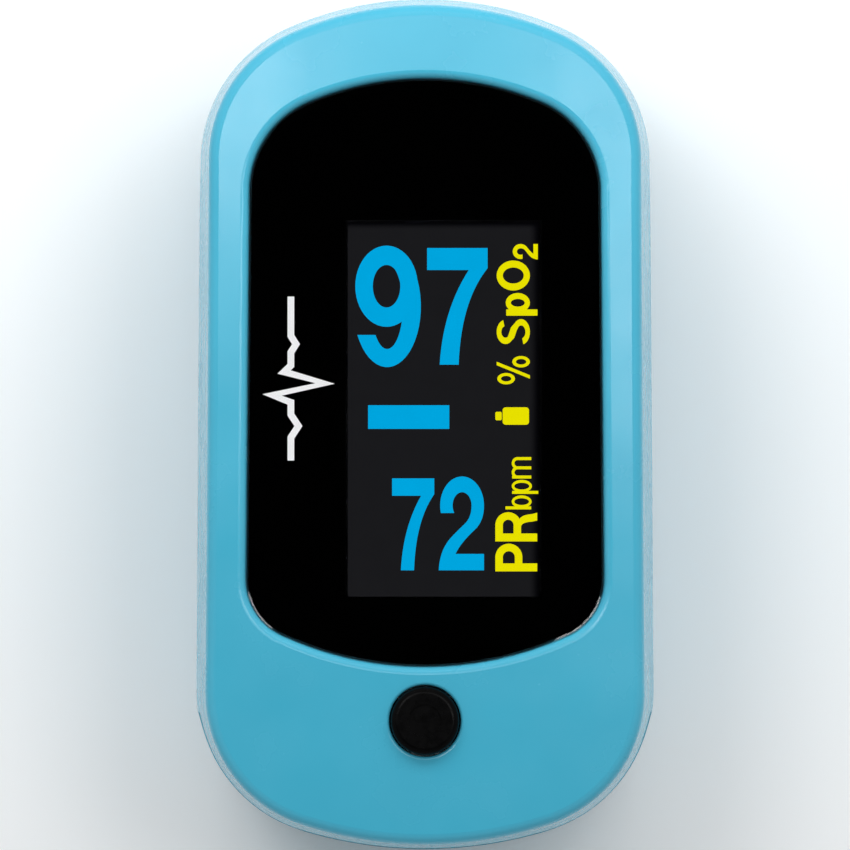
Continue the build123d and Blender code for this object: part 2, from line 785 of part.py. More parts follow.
def cover_plan(gap):
    """The battery cover's strip of the base, open at the front end, grown by gap."""
    with BuildSketch() as strip:
        with Locations((0, (cover_rear_y + gap - clear_of_body) / 2)):
            Rectangle(2 * (cover_half_width + gap), clear_of_body + cover_rear_y + gap)
        fillet(strip.vertices().group_by(Axis.Y)[-1], cover_corner + gap)
    return strip.sketch


def tongue_block(gap):
    """The strip that both tongues of the cover fill, or with a gap, the grooves that they slide in."""
    front = tongue_ends_y[0] if gap == 0 else -clear_of_body
    with BuildPart() as block:
        with BuildSketch(Plane.XY.offset(tongue_z - gap)):
            with Locations((0, (front + tongue_ends_y[1] + gap) / 2)):
                Rectangle(2 * (cover_tongue_x + gap), tongue_ends_y[1] + gap - front)
        extrude(amount=cover_thickness + 2 * gap - tongue_z)
    return block.part


with BuildPart() as lanyard_notch:
    with BuildSketch(Plane.XZ.offset(-lanyard_notch_front_y)):
        with Locations((0, (lanyard_notch_bottom + lanyard_shelf_bottom) / 2)):
            RectangleRounded(2 * lanyard_notch_half, lanyard_notch_height, lanyard_notch_corner)
    extrude(amount=lanyard_notch_front_y - rear_y - 1)

with BuildPart() as lower_cavity:
    with BuildSketch(Plane.XY):
        add(body_plan(lower_hull_base_inset + wall))
    extrude(amount=lower_edge, taper=-side_draft)
    with BuildSketch(Plane.XY):
        Rectangle(clear_of_body, 2 * clear_of_body)
    extrude(amount=cover_thickness + cover_gap, mode=Mode.SUBTRACT)
    # the battery bay's block, up to its roof
    with BuildSketch(Plane.XY):
        with Locations((0, (bay_front_y + bay_rear_y) / 2)):
            Rectangle(2 * (bay_half_width + bay_wall), bay_rear_y - bay_front_y + 2 * bay_wall)
    extrude(amount=bay_roof + bay_roof_thickness, mode=Mode.SUBTRACT)
    # solid rear end that carries the lanyard hole
    with BuildSketch(Plane.XY):
        with Locations((0, rear_y)):
            Rectangle(2 * lanyard_block_half, 2 * (rear_y - lanyard_block_front_y))
    extrude(amount=lower_edge, mode=Mode.SUBTRACT)

with BuildPart() as lower_housing:
    add(lower_blank.part)
    add(lower_cavity.part, mode=Mode.SUBTRACT)
    # battery bay, open below
    add(prism(bay_plan.sketch, 0, bay_roof), mode=Mode.SUBTRACT)
    # seat of the battery cover, open at the front end, with a groove for each tongue
    add(prism(cover_plan(cover_gap), 0, cover_thickness + cover_gap), mode=Mode.SUBTRACT)
    add(tongue_block(cover_gap), mode=Mode.SUBTRACT)
    # lanyard hole through the rear shelf, and the notch below it
    add(lanyard_notch.part, mode=Mode.SUBTRACT)
    with BuildSketch(Plane.XY.offset(lanyard_notch_bottom + 1)):
        with Locations((0, lanyard_y)):
            Circle(lanyard_hole_radius)
    extrude(amount=parting_z - lanyard_notch_bottom, mode=Mode.SUBTRACT)
    # screw holes and slots for the rear contacts' tabs in the bay's roof
    with BuildSketch(Plane.XY.offset(bay_roof)):
        with Locations(*frame_screw_places):
            Circle(screw_hole)
        with Locations(*tab_places):
            Rectangle(*tab_slot)
    extrude(amount=bay_roof_thickness + 0.5, mode=Mode.SUBTRACT)
    add(lower_wedge, mode=Mode.SUBTRACT)
    add(lower_mouth, mode=Mode.SUBTRACT)
    add(along_finger(lower_mouth_arch, front_y - 1, mouth_y), mode=Mode.SUBTRACT)
finish(lower_housing, "lower_housing")

grip_first_y = -14.0
grip_pitch = 1.6
grip_slot = (11.0, 0.7)
grip_depth = 0.3
grip_places = [(0, grip_first_y + grip_pitch * step) for step in range(6)]
arrow_y = -18.5
arrow_radius = 2.2
with BuildPart() as battery_cover:
    add(lower_blank.part)
    add(prism(cover_plan(0), 0, cover_thickness), mode=Mode.INTERSECT)
    add(tongue_block(0))
    # thumb grip: shallow grooves and an arrow that points the way the cover slides
    with BuildSketch(Plane.XY):
        with Locations(*grip_places):
            SlotOverall(*grip_slot)
        with Locations((0, arrow_y)):
            RegularPolygon(arrow_radius, 3, rotation=-90)
    extrude(amount=grip_depth, mode=Mode.SUBTRACT)
finish(battery_cover, "battery_cover")

# ---------------------------------------------------------------- lower half: frame and pad

lower_frame_inset = wall + (lower_edge - frame_floor) * tan(radians(side_draft)) + frame_side_gap

with BuildPart() as lower_frame:
    add(prism(body_plan(lower_frame_inset), frame_floor, lower_frame_edge))
    add(along_finger(pad_floor_arch, front_y - 1, pad_rear_y + pad_end_gap), mode=Mode.SUBTRACT)
    add(lower_pocket, mode=Mode.SUBTRACT)
    # seat of the sensor board and the channel of the flex cable behind it
    with BuildSketch(Plane.XY.offset(frame_floor)):
        with Locations((0, (sensor_y + flex_y) / 2)):
            Rectangle(flex_slot, flex_y - sensor_y)
    extrude(amount=pocket_floor - frame_floor, mode=Mode.SUBTRACT)
    with BuildSketch(Plane.XY.offset(frame_floor)):
        with Locations((0, sensor_y)):
            Rectangle(*emitter_pocket)
    extrude(amount=channel_floor - frame_floor, mode=Mode.SUBTRACT)
    # slots for the tabs of the rear contacts
    with BuildSketch(Plane.XY.offset(frame_floor)):
        with Locations(*tab_places):
            Rectangle(*tab_slot)
    extrude(amount=pocket_floor - frame_floor, mode=Mode.SUBTRACT)
    with BuildSketch(Plane.XY.offset(frame_floor)):
        with Locations((0, flex_y + flex_slot_shift)):
            Rectangle(flex_slot, flex_slot_length)
    extrude(amount=parting_z, mode=Mode.SUBTRACT)
    # pockets that keep the walls thin, open below
    with BuildSketch(Plane.XY.offset(frame_floor)):
        with Locations((-wall_pocket_x, lower_wall_pocket[0]), (wall_pocket_x, lower_wall_pocket[0])):
            Rectangle(wall_pocket_width, lower_wall_pocket[1])
    extrude(amount=lower_frame_edge - frame_floor - wall_pocket_skin, mode=Mode.SUBTRACT)
    # room for the housing's solid rear end, which carries the lanyard hole
    with BuildSketch(Plane.XY.offset(frame_floor)):
        with Locations((0, rear_y)):
            Rectangle(
                2 * (lanyard_block_half + frame_side_gap),
                2 * (rear_y - lanyard_block_front_y + frame_side_gap),
            )
    extrude(amount=lower_frame_edge - frame_floor, mode=Mode.SUBTRACT)
    add(wedge(lower_frame_edge, -1), mode=Mode.SUBTRACT)
    add(mouth(lower_mouth_z - frame_side_gap, -1, frame_side_gap), mode=Mode.SUBTRACT)
    # room for the upper ears
    for side in side_planes:
        low, high = sorted((side * spring_pocket_half, side * (upper_ear[1] + ear_side_gap)))
        add(cross_rod(ear_radius + ear_gap, low, high), mode=Mode.SUBTRACT)
    # the lower ears, each on a leg from the floor
    for side in side_planes:
        low, high = sorted((side * lower_ear[0], side * lower_ear[1]))
        add(cross_rod(ear_radius, low, high))
        with BuildSketch(Plane.YZ.offset(low)):
            with Locations((hinge_y, (parting_z + pocket_floor) / 2)):
                Rectangle(2 * ear_radius, parting_z - pocket_floor)
        extrude(amount=high - low)
    add(cross_rod(pin_radius, -pin_half_length, pin_half_length), mode=Mode.SUBTRACT)
    # blind holes for the screws that come up through the bay's roof
    with BuildSketch(Plane.XY.offset(frame_floor)):
        with Locations(*frame_screw_places):
            Circle(screw_radius + frame_screw_hole_gap)
    extrude(amount=frame_screw_hole_depth, mode=Mode.SUBTRACT)
finish(lower_frame, "lower_frame")

with BuildPart() as lower_finger_pad:
    add(along_finger(pad_section(pad_lower_outer, lower_edge, -1), pad_front_y, pad_rear_y))
    add(along_finger(floor_arch, front_y - 1, pad_rear_y - pad_thickness), mode=Mode.SUBTRACT)
    add(lower_mouth, mode=Mode.SUBTRACT)
    with BuildSketch(Plane.XY.offset(frame_floor)):
        with Locations((0, sensor_y)):
            Rectangle(*window_hole)
    extrude(amount=lower_edge - frame_floor, mode=Mode.SUBTRACT)
finish(lower_finger_pad, "lower_finger_pad")

sensor_board_top = frame_floor + sensor_board_thickness
sensor_window_bottom = photodiode_top + optic_chip_gap
frame_screw_low = bay_roof - frame_screw_head_height
sensor_board = optic_plate(optic_board, frame_floor, sensor_board_top)
finish(sensor_board, "sensor_board")
photodiode = optic_plate(photodiode_size, sensor_board_top, photodiode_top, optic_chip_corner)
finish(photodiode, "photodiode")
sensor_window = optic_plate(window_size, sensor_window_bottom, channel_floor, optic_window_corner)
finish(sensor_window, "sensor_window")
lower_screws = pan_screws(
    frame_screw_places, frame_screw_low, frame_screw_head_height, frame_screw_shank, frame_screw_head
)
finish(lower_screws, "lower_screws")

# ---------------------------------------------------------------- lower half: cells and contacts

nub_radius = 1.9
nub_length = 0.9
cell_edge = 0.4
nub_edge = 0.25
contact_boss = 0.5
contact_boss_radius = 1.5
contact_boss_taper = 20  # degrees
contact_corner = 1.2
tab_size = (2.0, 4.0)
tab_rise = 1.0
plate_height = 9.0
rear_plate_width = 6.6
plate_bottom = 2.2
bridge_plate_width = 19.0
coil_wire_radius = 0.25
coil_radius = 3.4
coil_cone = -50  # degrees
coil_end_gap = 0.1
coil_foot_gap = 0.02
coil_room = 1.6  # between a contact plate and the flat end of the cell it presses on
rear_plate_face = bay_rear_y - contact_thickness
front_plate_face = bay_front_y + contact_thickness


def aaa_cell(x, flat_end_y, direction):
    """A cell lying along Y, whose nub is at the end that direction points to."""
    nub_y = flat_end_y + direction * (cell_length - nub_length)
    with BuildPart() as cell:
        with BuildSketch(Plane.XZ.offset(-flat_end_y)):
            with Locations((x, cell_z)):
                Circle(cell_radius)
        extrude(amount=-direction * (cell_length - nub_length))
        fillet(cell.edges(), cell_edge)
        with BuildSketch(Plane.XZ.offset(-nub_y)):
            with Locations((x, cell_z)):
                Circle(nub_radius)
        extrude(amount=-direction * nub_length)
        fillet(cell.edges().sort_by(Axis.Y)[-1 if direction > 0 else 0], nub_edge)
    return cell


def contact_plate(centre_x, width, face_y, direction, boss_x=None, tab=False):
    """An upright plate against a bay wall; boss_x is where a pressed boss meets a cell's nub."""
    with BuildPart() as plate:
        with BuildSketch(Plane.XZ.offset(-face_y)):
            with Locations((centre_x, plate_bottom + plate_height / 2)):
                RectangleRounded(width, plate_height, contact_corner)
            if tab:
                with Locations((centre_x, plate_bottom + plate_height + tab_rise)):
                    Rectangle(*tab_size)
        extrude(amount=direction * contact_thickness)
        if boss_x is not None:
            with BuildSketch(Plane.XZ.offset(-face_y)):
                with Locations((boss_x, cell_z)):
                    Circle(contact_boss_radius)
            extrude(amount=-direction * contact_boss, taper=contact_boss_taper)
    return plate


def contact_coil(x, face_y, direction):
    """A coil that narrows from the contact plate to the cell it presses on."""
    turn_height = (coil_room - 2 * coil_wire_radius - coil_end_gap) / 2
    start_y = face_y + direction * (coil_wire_radius + coil_foot_gap)
    with BuildPart() as coil:
        with BuildLine():
            path = Helix(
                pitch=turn_height,
                height=2 * turn_height,
                radius=coil_radius,
                center=(x, start_y, cell_z),
                direction=(0, direction, 0),
                cone_angle=coil_cone,
            )
        with BuildSketch(Plane(origin=path @ 0, z_dir=path % 0)):
            Circle(coil_wire_radius)
        sweep(is_frenet=True)
    return coil


left_flat_end = front_plate_face + coil_room
right_flat_end = rear_plate_face - coil_room
finish(aaa_cell(-cell_x, left_flat_end, 1), "battery_cell_left")
finish(aaa_cell(cell_x, right_flat_end, -1), "battery_cell_right")
finish(contact_plate(0.0, bridge_plate_width, front_plate_face, 1, cell_x), "bridge_contact")
finish(contact_plate(-cell_x, rear_plate_width, rear_plate_face, -1, -cell_x, True), "positive_contact")
finish(contact_plate(cell_x, rear_plate_width, rear_plate_face, -1, None, True), "negative_contact")
finish(contact_coil(-cell_x, front_plate_face, 1), "bridge_coil")
finish(contact_coil(cell_x, rear_plate_face, -1), "negative_coil")

# ---------------------------------------------------------------- hinge: pin, springs and the flex cable

pin_edge = 0.2
with BuildPart() as hinge_pin:
    add(cross_rod(pin_radius, -pin_half_length, pin_half_length))
    chamfer(hinge_pin.edges().filter_by(GeomType.CIRCLE), pin_edge)
finish(hinge_pin, "hinge_pin")

lead_radius = 0.3
lead_z = 14.15
lead_inner_x = 1.6
lead_turn_y = 21.4
lead_ends_y = (rear_plate_face - 0.05, flex_y + 0.2)
lead_bend = 1.0

with BuildPart() as battery_leads:
    for side in side_planes:
        with BuildLine(Plane.XY.offset(lead_z)):
            route = FilletPolyline(
                (side * cell_x, lead_ends_y[0]),
                (side * cell_x, lead_turn_y),
                (side * lead_inner_x, lead_turn_y),
                (side * lead_inner_x, lead_ends_y[1]),
                radius=lead_bend,
            )
        with BuildSketch(Plane(origin=route @ 0, z_dir=route % 0)):
            Circle(lead_radius)
        sweep(path=route)
finish(battery_leads, "battery_leads")

spring_wire_radius = 0.35
spring_coil_radius = 1.75
spring_pitch = 0.82
spring_inner_x = 3.4
lower_leg_drop = 8.0  # degrees
upper_leg_rise = 30.0  # degrees
spring_turns = 4.5 - (lower_leg_drop + upper_leg_rise) / 360
lower_leg_length = 7.0
upper_leg_length = 8.6

with BuildPart() as left_spring:
    with BuildLine() as wire:
        coil = Helix(
            pitch=spring_pitch,
            height=spring_pitch * spring_turns,
            radius=spring_coil_radius,
            center=(-spring_inner_x, 0, 0),
            direction=(-1, 0, 0),
        )
        lower_leg = Line((coil @ 0) - (coil % 0) * lower_leg_length, coil @ 0)
        Line(coil @ 1, (coil @ 1) + (coil % 1) * upper_leg_length)
    with BuildSketch(Plane(origin=lower_leg @ 0, z_dir=lower_leg % 0)):
        Circle(spring_wire_radius)
    sweep(path=wire.wires()[0], is_frenet=True)

with BuildPart() as torsion_spring_left:
    add(Pos(0, hinge_y, parting_z) * Rot(-lower_leg_drop, 0, 0) * left_spring.part)
finish(torsion_spring_left, "torsion_spring_left")

with BuildPart() as torsion_spring_right:
    add(mirror(torsion_spring_left.part, about=Plane.YZ, mode=Mode.PRIVATE))
finish(torsion_spring_right, "torsion_spring_right")

ribbon_thickness = 0.15
ribbon_width = 5.0
ribbon_start_z = sensor_board_top + ribbon_thickness / 2 + 0.04
ribbon_low_z = frame_floor + 0.27
sensor_board_rear_y = sensor_y + optic_board[1] / 2
ribbon_on_board = 0.8
ribbon_ramp_y = (sensor_board_rear_y + 0.1, sensor_board_rear_y + 1.1)
ribbon_in_connector = 0.9
ribbon_bend = 0.5
with BuildPart() as flex_cable:
    with BuildSketch(Plane.YZ):
        with BuildLine():
            FilletPolyline(
                (sensor_board_rear_y - ribbon_on_board, ribbon_start_z),
                (ribbon_ramp_y[0], ribbon_start_z),
                (ribbon_ramp_y[1], ribbon_low_z),
                (flex_y, ribbon_low_z),
                (flex_y, board_bottom - connector_height / 2),
                (connector_mouth_y + ribbon_in_connector, board_bottom - connector_height / 2),
                radius=ribbon_bend,
            )
        trace(line_width=ribbon_thickness)
    extrude(amount=ribbon_width / 2, both=True)
finish(flex_cable, "flex_cable")
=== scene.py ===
"""Looks of a fingertip pulse oximeter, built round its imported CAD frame.

Metres, in the frame's axes: +Z out of the display, +Y from the finger's entry to the hinge, X across.
"""

import json
import math

import bmesh
import bpy
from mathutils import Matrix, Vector

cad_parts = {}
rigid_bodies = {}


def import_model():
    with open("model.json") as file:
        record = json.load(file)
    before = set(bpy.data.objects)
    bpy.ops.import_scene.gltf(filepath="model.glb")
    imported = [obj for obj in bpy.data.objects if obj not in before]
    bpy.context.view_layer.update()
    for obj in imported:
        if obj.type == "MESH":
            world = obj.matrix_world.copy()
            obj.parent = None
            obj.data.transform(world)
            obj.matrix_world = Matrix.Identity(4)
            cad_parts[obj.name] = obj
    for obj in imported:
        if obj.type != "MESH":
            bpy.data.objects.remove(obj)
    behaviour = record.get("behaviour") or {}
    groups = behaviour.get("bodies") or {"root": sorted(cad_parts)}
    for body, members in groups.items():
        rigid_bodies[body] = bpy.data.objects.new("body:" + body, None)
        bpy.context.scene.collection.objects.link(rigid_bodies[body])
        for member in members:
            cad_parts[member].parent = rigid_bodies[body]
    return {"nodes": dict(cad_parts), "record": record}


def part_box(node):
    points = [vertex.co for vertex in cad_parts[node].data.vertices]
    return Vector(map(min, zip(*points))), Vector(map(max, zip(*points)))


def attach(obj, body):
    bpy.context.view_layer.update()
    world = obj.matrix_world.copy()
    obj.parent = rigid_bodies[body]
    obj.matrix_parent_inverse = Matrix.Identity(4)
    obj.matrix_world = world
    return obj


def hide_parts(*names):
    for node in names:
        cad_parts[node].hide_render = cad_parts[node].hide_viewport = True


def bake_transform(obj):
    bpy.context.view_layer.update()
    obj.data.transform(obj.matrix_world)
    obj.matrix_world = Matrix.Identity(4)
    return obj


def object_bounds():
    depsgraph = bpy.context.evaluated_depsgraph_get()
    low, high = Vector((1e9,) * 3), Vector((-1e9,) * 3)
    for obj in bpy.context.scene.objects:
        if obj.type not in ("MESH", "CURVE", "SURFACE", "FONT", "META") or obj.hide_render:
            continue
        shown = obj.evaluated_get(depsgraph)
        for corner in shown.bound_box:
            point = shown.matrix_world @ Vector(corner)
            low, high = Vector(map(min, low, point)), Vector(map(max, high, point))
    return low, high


for thing in list(bpy.data.objects):
    bpy.data.objects.remove(thing)

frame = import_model()
cad_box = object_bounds()
nodes = frame["nodes"]
MM = 0.001

# ---------------------------------------------------------------- camera, floor and light

FRAMED_HEIGHT = 57.5 * MM  # what fills the picture's height at the object's widest level
WIDEST_LEVEL = 17.0 * MM
LENS_MM = 1000.0
SENSOR_MM = 36.0
CLIP = (0.05, 20.0)

NEAR_LIGHT = 0.50  # the world's strength on the finger's side
FAR_LIGHT = 0.75  # and on the hinge's side
SKY = (0.90, 0.90, 0.90, 1)
BACKDROP = (0.97, 0.97, 0.97, 1)
FADE_START = 0.70  # the height, of 1, at which the sky starts to fade
FADE_END = 0.985

BOX_HEIGHT = 1.0  # of the softboxes that face straight down
SOFTBOXES = {  # centre, size and power
    "left_box": ((-0.29, 0.26), (0.26, 0.30), 1.85),
    "right_box": ((0.30, 0.17), (0.26, 0.36), 1.75),
    "rear_dome_box": ((0.0, 0.24), (0.32, 0.26), 0.50),
}
NEAR_LAMP_PLACE = (0.0, 0.10, 0.12)
NEAR_LAMP_TARGET = (0.0, 0.0, 0.03)
NEAR_LAMP_SIZE = (0.20, 0.05)
NEAR_LAMP_POWER = 0.146

FLOOR_HALF = 3.0
FLOOR_GAP = 0.02 * MM


def make_camera():
    """A very long lens straight above the object, with the hinge end at the top of the picture."""
    data = bpy.data.cameras.new("camera")
    data.lens = LENS_MM
    data.sensor_width = SENSOR_MM
    data.clip_start, data.clip_end = CLIP
    camera = bpy.data.objects.new("camera", data)
    bpy.context.scene.collection.objects.link(camera)
    low, high = cad_box
    distance = FRAMED_HEIGHT / SENSOR_MM * LENS_MM
    camera.location = ((low.x + high.x) / 2, (low.y + high.y) / 2, WIDEST_LEVEL + distance)
    bpy.context.scene.camera = camera


def area_light(name, place, target, size, power):
    """A soft rectangular lamp at a place, turned towards a target, which the camera doesn't see."""
    data = bpy.data.lights.new(name, "AREA")
    data.shape = "RECTANGLE"
    data.size, data.size_y = size
    data.energy = power
    lamp = bpy.data.objects.new(name, data)
    lamp.location = place
    lamp.visible_camera = False
    lamp.rotation_euler = (Vector(target) - Vector(place)).to_track_quat("-Z", "Y").to_euler()
    bpy.context.scene.collection.objects.link(lamp)
    return lamp


def make_world():
    """Pale light from the sides, stronger from the hinge's side, that fades to dark overhead.

    The flat window mirrors the dark part, so it stays black.
    """
    world = bpy.data.worlds.new("studio")
    world.use_nodes = True
    bpy.context.scene.world = world
    tree = world.node_tree
    background = tree.nodes["Background"]
    place = tree.nodes.new("ShaderNodeTexCoord")
    split = tree.nodes.new("ShaderNodeSeparateXYZ")
    tree.links.new(place.outputs["Generated"], split.inputs[0])
    ramp = tree.nodes.new("ShaderNodeValToRGB")
    ramp.color_ramp.interpolation = "EASE"
    ramp.color_ramp.elements[0].position = FADE_START
    ramp.color_ramp.elements[0].color = SKY
    ramp.color_ramp.elements[1].position = FADE_END
    ramp.color_ramp.elements[1].color = (0, 0, 0, 1)
    tree.links.new(split.outputs["Z"], ramp.inputs[0])
    rise = tree.nodes.new("ShaderNodeMapRange")
    tree.links.new(split.outputs["Y"], rise.inputs["Value"])
    rise.inputs["From Min"].default_value = -1.0
    rise.inputs["To Min"].default_value = NEAR_LIGHT
    rise.inputs["To Max"].default_value = FAR_LIGHT
    shade = tree.nodes.new("ShaderNodeVectorMath")
    shade.operation = "SCALE"
    tree.links.new(ramp.outputs[0], shade.inputs[0])
    tree.links.new(rise.outputs[0], shade.inputs["Scale"])
    ray = tree.nodes.new("ShaderNodeLightPath")
    mix = tree.nodes.new("ShaderNodeMix")
    mix.data_type = "RGBA"
    mix.inputs["B"].default_value = BACKDROP
    tree.links.new(ray.outputs["Is Camera Ray"], mix.inputs["Factor"])
    tree.links.new(shade.outputs[0], mix.inputs["A"])
    tree.links.new(mix.outputs["Result"], background.inputs["Color"])


def make_lights():
    """Softboxes for the corners and the dome at the rear, and a near lamp that fades towards the front."""
    for name, ((x, y), size, power) in SOFTBOXES.items():
        area_light(name, (x, y, BOX_HEIGHT), (x, y, 0), size, power)
    near = area_light("rear_box", NEAR_LAMP_PLACE, NEAR_LAMP_TARGET, NEAR_LAMP_SIZE, NEAR_LAMP_POWER)
    # it is so close that the window would mirror it whole
    near.visible_glossy = False
    near.visible_transmission = False


def make_floor():
    """A wide pale floor with a faint unevenness."""
    corners = [(x * FLOOR_HALF, y * FLOOR_HALF, -FLOOR_GAP) for x, y in ((-1, -1), (1, -1), (1, 1), (-1, 1))]
    mesh = bpy.data.meshes.new("floor")
    mesh.from_pydata(corners, [], [(0, 1, 2, 3)])
    floor = bpy.data.objects.new("floor", mesh)
    bpy.context.scene.collection.objects.link(floor)
    paint = Paint("pale_floor", (0.96, 0.96, 0.96), 0.75)
    paint.vary_colour((0.95, 0.95, 0.95), (0.97, 0.97, 0.97), 25.0)
    mesh.materials.append(paint.material)


# ---------------------------------------------------------------- materials


class Paint:
    """One material: a Principled shader with procedural colour, roughness and bump, in frame coordinates."""

    def __init__(self, name, colour, roughness, **sockets):
        self.material = bpy.data.materials.new(name)
        self.material.use_nodes = True
        self.tree = self.material.node_tree
        self.shader = self.tree.nodes["Principled BSDF"]
        self.shader.inputs["Base Color"].default_value = (*colour, 1)
        self.shader.inputs["Roughness"].default_value = roughness
        for socket, value in sockets.items():
            self.shader.inputs[socket.replace("_", " ")].default_value = value
        self.place = self.tree.nodes.new("ShaderNodeTexCoord").outputs["Object"]
        self.normal = None

    def node(self, kind, *inputs, **settings):
        """A new node with its settings, and its first inputs linked or set; None leaves one alone."""
        made = self.tree.nodes.new(kind)
        for setting, value in settings.items():
            setattr(made, setting, value)
        for socket, value in zip(made.inputs, inputs):
            if isinstance(value, bpy.types.NodeSocket):
                self.tree.links.new(value, socket)
            elif value is not None:
                socket.default_value = value
        return made

    def math(self, operation, *inputs):
        return self.node("ShaderNodeMath", *inputs, operation=operation).outputs[0]

    def stretched(self, scale):
        """Frame coordinates scaled per axis."""
        made = self.node("ShaderNodeMapping", self.place)
        made.inputs["Scale"].default_value = scale
        return made.outputs[0]

    def noise(self, scale, detail=3.0, stretch=None):
        """Cloudy noise with that many features per metre."""
        made = self.node("ShaderNodeTexNoise", self.stretched(stretch) if stretch else self.place)
        made.inputs["Scale"].default_value = scale
        made.inputs["Detail"].default_value = detail
        return made.outputs["Fac"]

    def axis(self, letter):
        """One frame coordinate, in metres."""
        return self.node("ShaderNodeSeparateXYZ", self.place).outputs[letter]

    def step(self, value, place, soft):
        """0 below a place and 1 above it, with an edge that is soft either side."""
        made = self.node(
            "ShaderNodeMapRange", value, place - soft, place + soft, interpolation_type="SMOOTHSTEP"
        )
        return made.outputs[0]

    def band(self, value, low, high, soft):
        """1 where low < value < high, with edges that are soft either side."""
        return self.math("SUBTRACT", self.step(value, low, soft), self.step(value, high, soft))

    def ramp(self, factor, low, high, start=0.3, end=0.7):
        """A colour between low and high."""
        made = self.node("ShaderNodeValToRGB", factor)
        made.color_ramp.elements[0].position = start
        made.color_ramp.elements[0].color = (*low, 1)
        made.color_ramp.elements[1].position = end
        made.color_ramp.elements[1].color = (*high, 1)
        return made.outputs[0]

    def mix(self, factor, low, high):
        """low where factor is 0 and high where it is 1; each is a colour or a socket."""
        made = self.node("ShaderNodeMix", data_type="RGBA")
        self.tree.links.new(factor, made.inputs["Factor"])
        for socket, value in (("A", low), ("B", high)):
            if isinstance(value, bpy.types.NodeSocket):
                self.tree.links.new(value, made.inputs[socket])
            else:
                made.inputs[socket].default_value = (*value, 1)
        return made.outputs["Result"]

    def colour_from(self, socket):
        self.tree.links.new(socket, self.shader.inputs["Base Color"])

    def vary_colour(self, low, high, scale):
        self.colour_from(self.ramp(self.noise(scale), low, high))

    def vary_roughness(self, low, high, scale, stretch=None):
        span = self.node("ShaderNodeMapRange", self.noise(scale, 4.0, stretch), 0.3, 0.7, low, high)
        self.tree.links.new(span.outputs[0], self.shader.inputs["Roughness"])

    def bump(self, height, distance):
        """Raise the surface by distance, in metres, where height is 1. Several add up."""
        made = self.node("ShaderNodeBump")
        made.inputs["Strength"].default_value = 1.0
        made.inputs["Distance"].default_value = distance
        self.tree.links.new(height, made.inputs["Height"])
        if self.normal is not None:
            self.tree.links.new(self.normal, made.inputs["Normal"])
        self.normal = made.outputs[0]
        self.tree.links.new(self.normal, self.shader.inputs["Normal"])


def shell_blue():
    """Glossy sky-blue moulding, faintly clouded, with traces of handling in its gloss."""
    paint = Paint("shell_blue", (0.053, 0.40, 0.567), 0.24, IOR=1.48, Coat_Weight=0.1, Coat_Roughness=0.08)
    paint.vary_colour((0.050, 0.390, 0.555), (0.056, 0.410, 0.580), 160.0)
    paint.vary_roughness(0.20, 0.30, 220.0)
    return paint


def lens():
    """Clear polished acrylic."""
    paint = Paint("lens", (0.93, 0.94, 0.95), 0.0, IOR=1.49, Transmission_Weight=1.0)
    paint.vary_roughness(0.0, 0.002, 300.0)
    return paint


def ink_black():
    """Back-printed ink under the window, with the slight unevenness of a screen print."""
    paint = Paint("ink_black", (0.0004, 0.0004, 0.0005), 0.5)
    paint.shader.inputs["Specular IOR Level"].default_value = 0.0
    paint.vary_colour((0.0003, 0.0003, 0.0004), (0.0006, 0.0006, 0.0007), 2500.0)
    paint.vary_roughness(0.45, 0.6, 4000.0)
    return paint


def adhesive():
    """Thin foam tape."""
    paint = Paint("adhesive", (0.006, 0.006, 0.007), 0.85)
    paint.vary_colour((0.004, 0.004, 0.005), (0.012, 0.012, 0.013), 6000.0)
    paint.bump(paint.noise(9000.0), 0.01 * MM)
    return paint


def button_black():
    """Satin black moulding with a fine sparked texture."""
    paint = Paint("button_black", (0.0009, 0.0009, 0.001), 0.34, IOR=1.4)
    paint.shader.inputs["Specular IOR Level"].default_value = 0.08
    paint.vary_colour((0.0006, 0.0006, 0.0007), (0.0014, 0.0014, 0.0015), 900.0)
    paint.vary_roughness(0.22, 0.34, 1500.0)
    paint.bump(paint.noise(9000.0, 3.0), 0.002 * MM)
    return paint


def display_glass():
    """Dark display glass with a faint grid of electrodes."""
    paint = Paint("display_glass", (0.006, 0.006, 0.008), 0.08, IOR=1.5)
    cells = paint.node("ShaderNodeTexBrick", paint.place, offset=0.0)
    cells.inputs["Scale"].default_value = 2400.0
    cells.inputs["Color1"].default_value = (0.006, 0.006, 0.009, 1)
    cells.inputs["Color2"].default_value = (0.008, 0.008, 0.011, 1)
    cells.inputs["Mortar"].default_value = (0.014, 0.013, 0.011, 1)
    paint.colour_from(cells.outputs["Color"])
    paint.vary_roughness(0.05, 0.12, 500.0)
    return paint


def dark_plastic(name, level):
    """Matt black moulding or epoxy with a fine grain."""
    paint = Paint(name, (level,) * 3, 0.6)
    paint.vary_colour((level * 0.8,) * 3, (level * 1.25,) * 3, 2500.0)
    paint.vary_roughness(0.5, 0.7, 3000.0)
    paint.bump(paint.noise(12000.0, 2.0), 0.006 * MM)
    return paint


def foam():
    """Closed-cell foam; the cell hollows are darkened with painted shade."""
    paint = Paint("foam", (0.012, 0.012, 0.012), 0.95)
    cells = paint.node("ShaderNodeTexVoronoi", paint.place)
    cells.inputs["Scale"].default_value = 7000.0
    # painted shade: the hollow colour darkens the cells' pits, where shade falls
    wall, hollow = (0.02, 0.02, 0.02), (0.006, 0.006, 0.006)
    paint.colour_from(paint.ramp(cells.outputs["Distance"], wall, hollow, 0.1, 0.6))
    paint.bump(cells.outputs["Distance"], 0.03 * MM)
    return paint


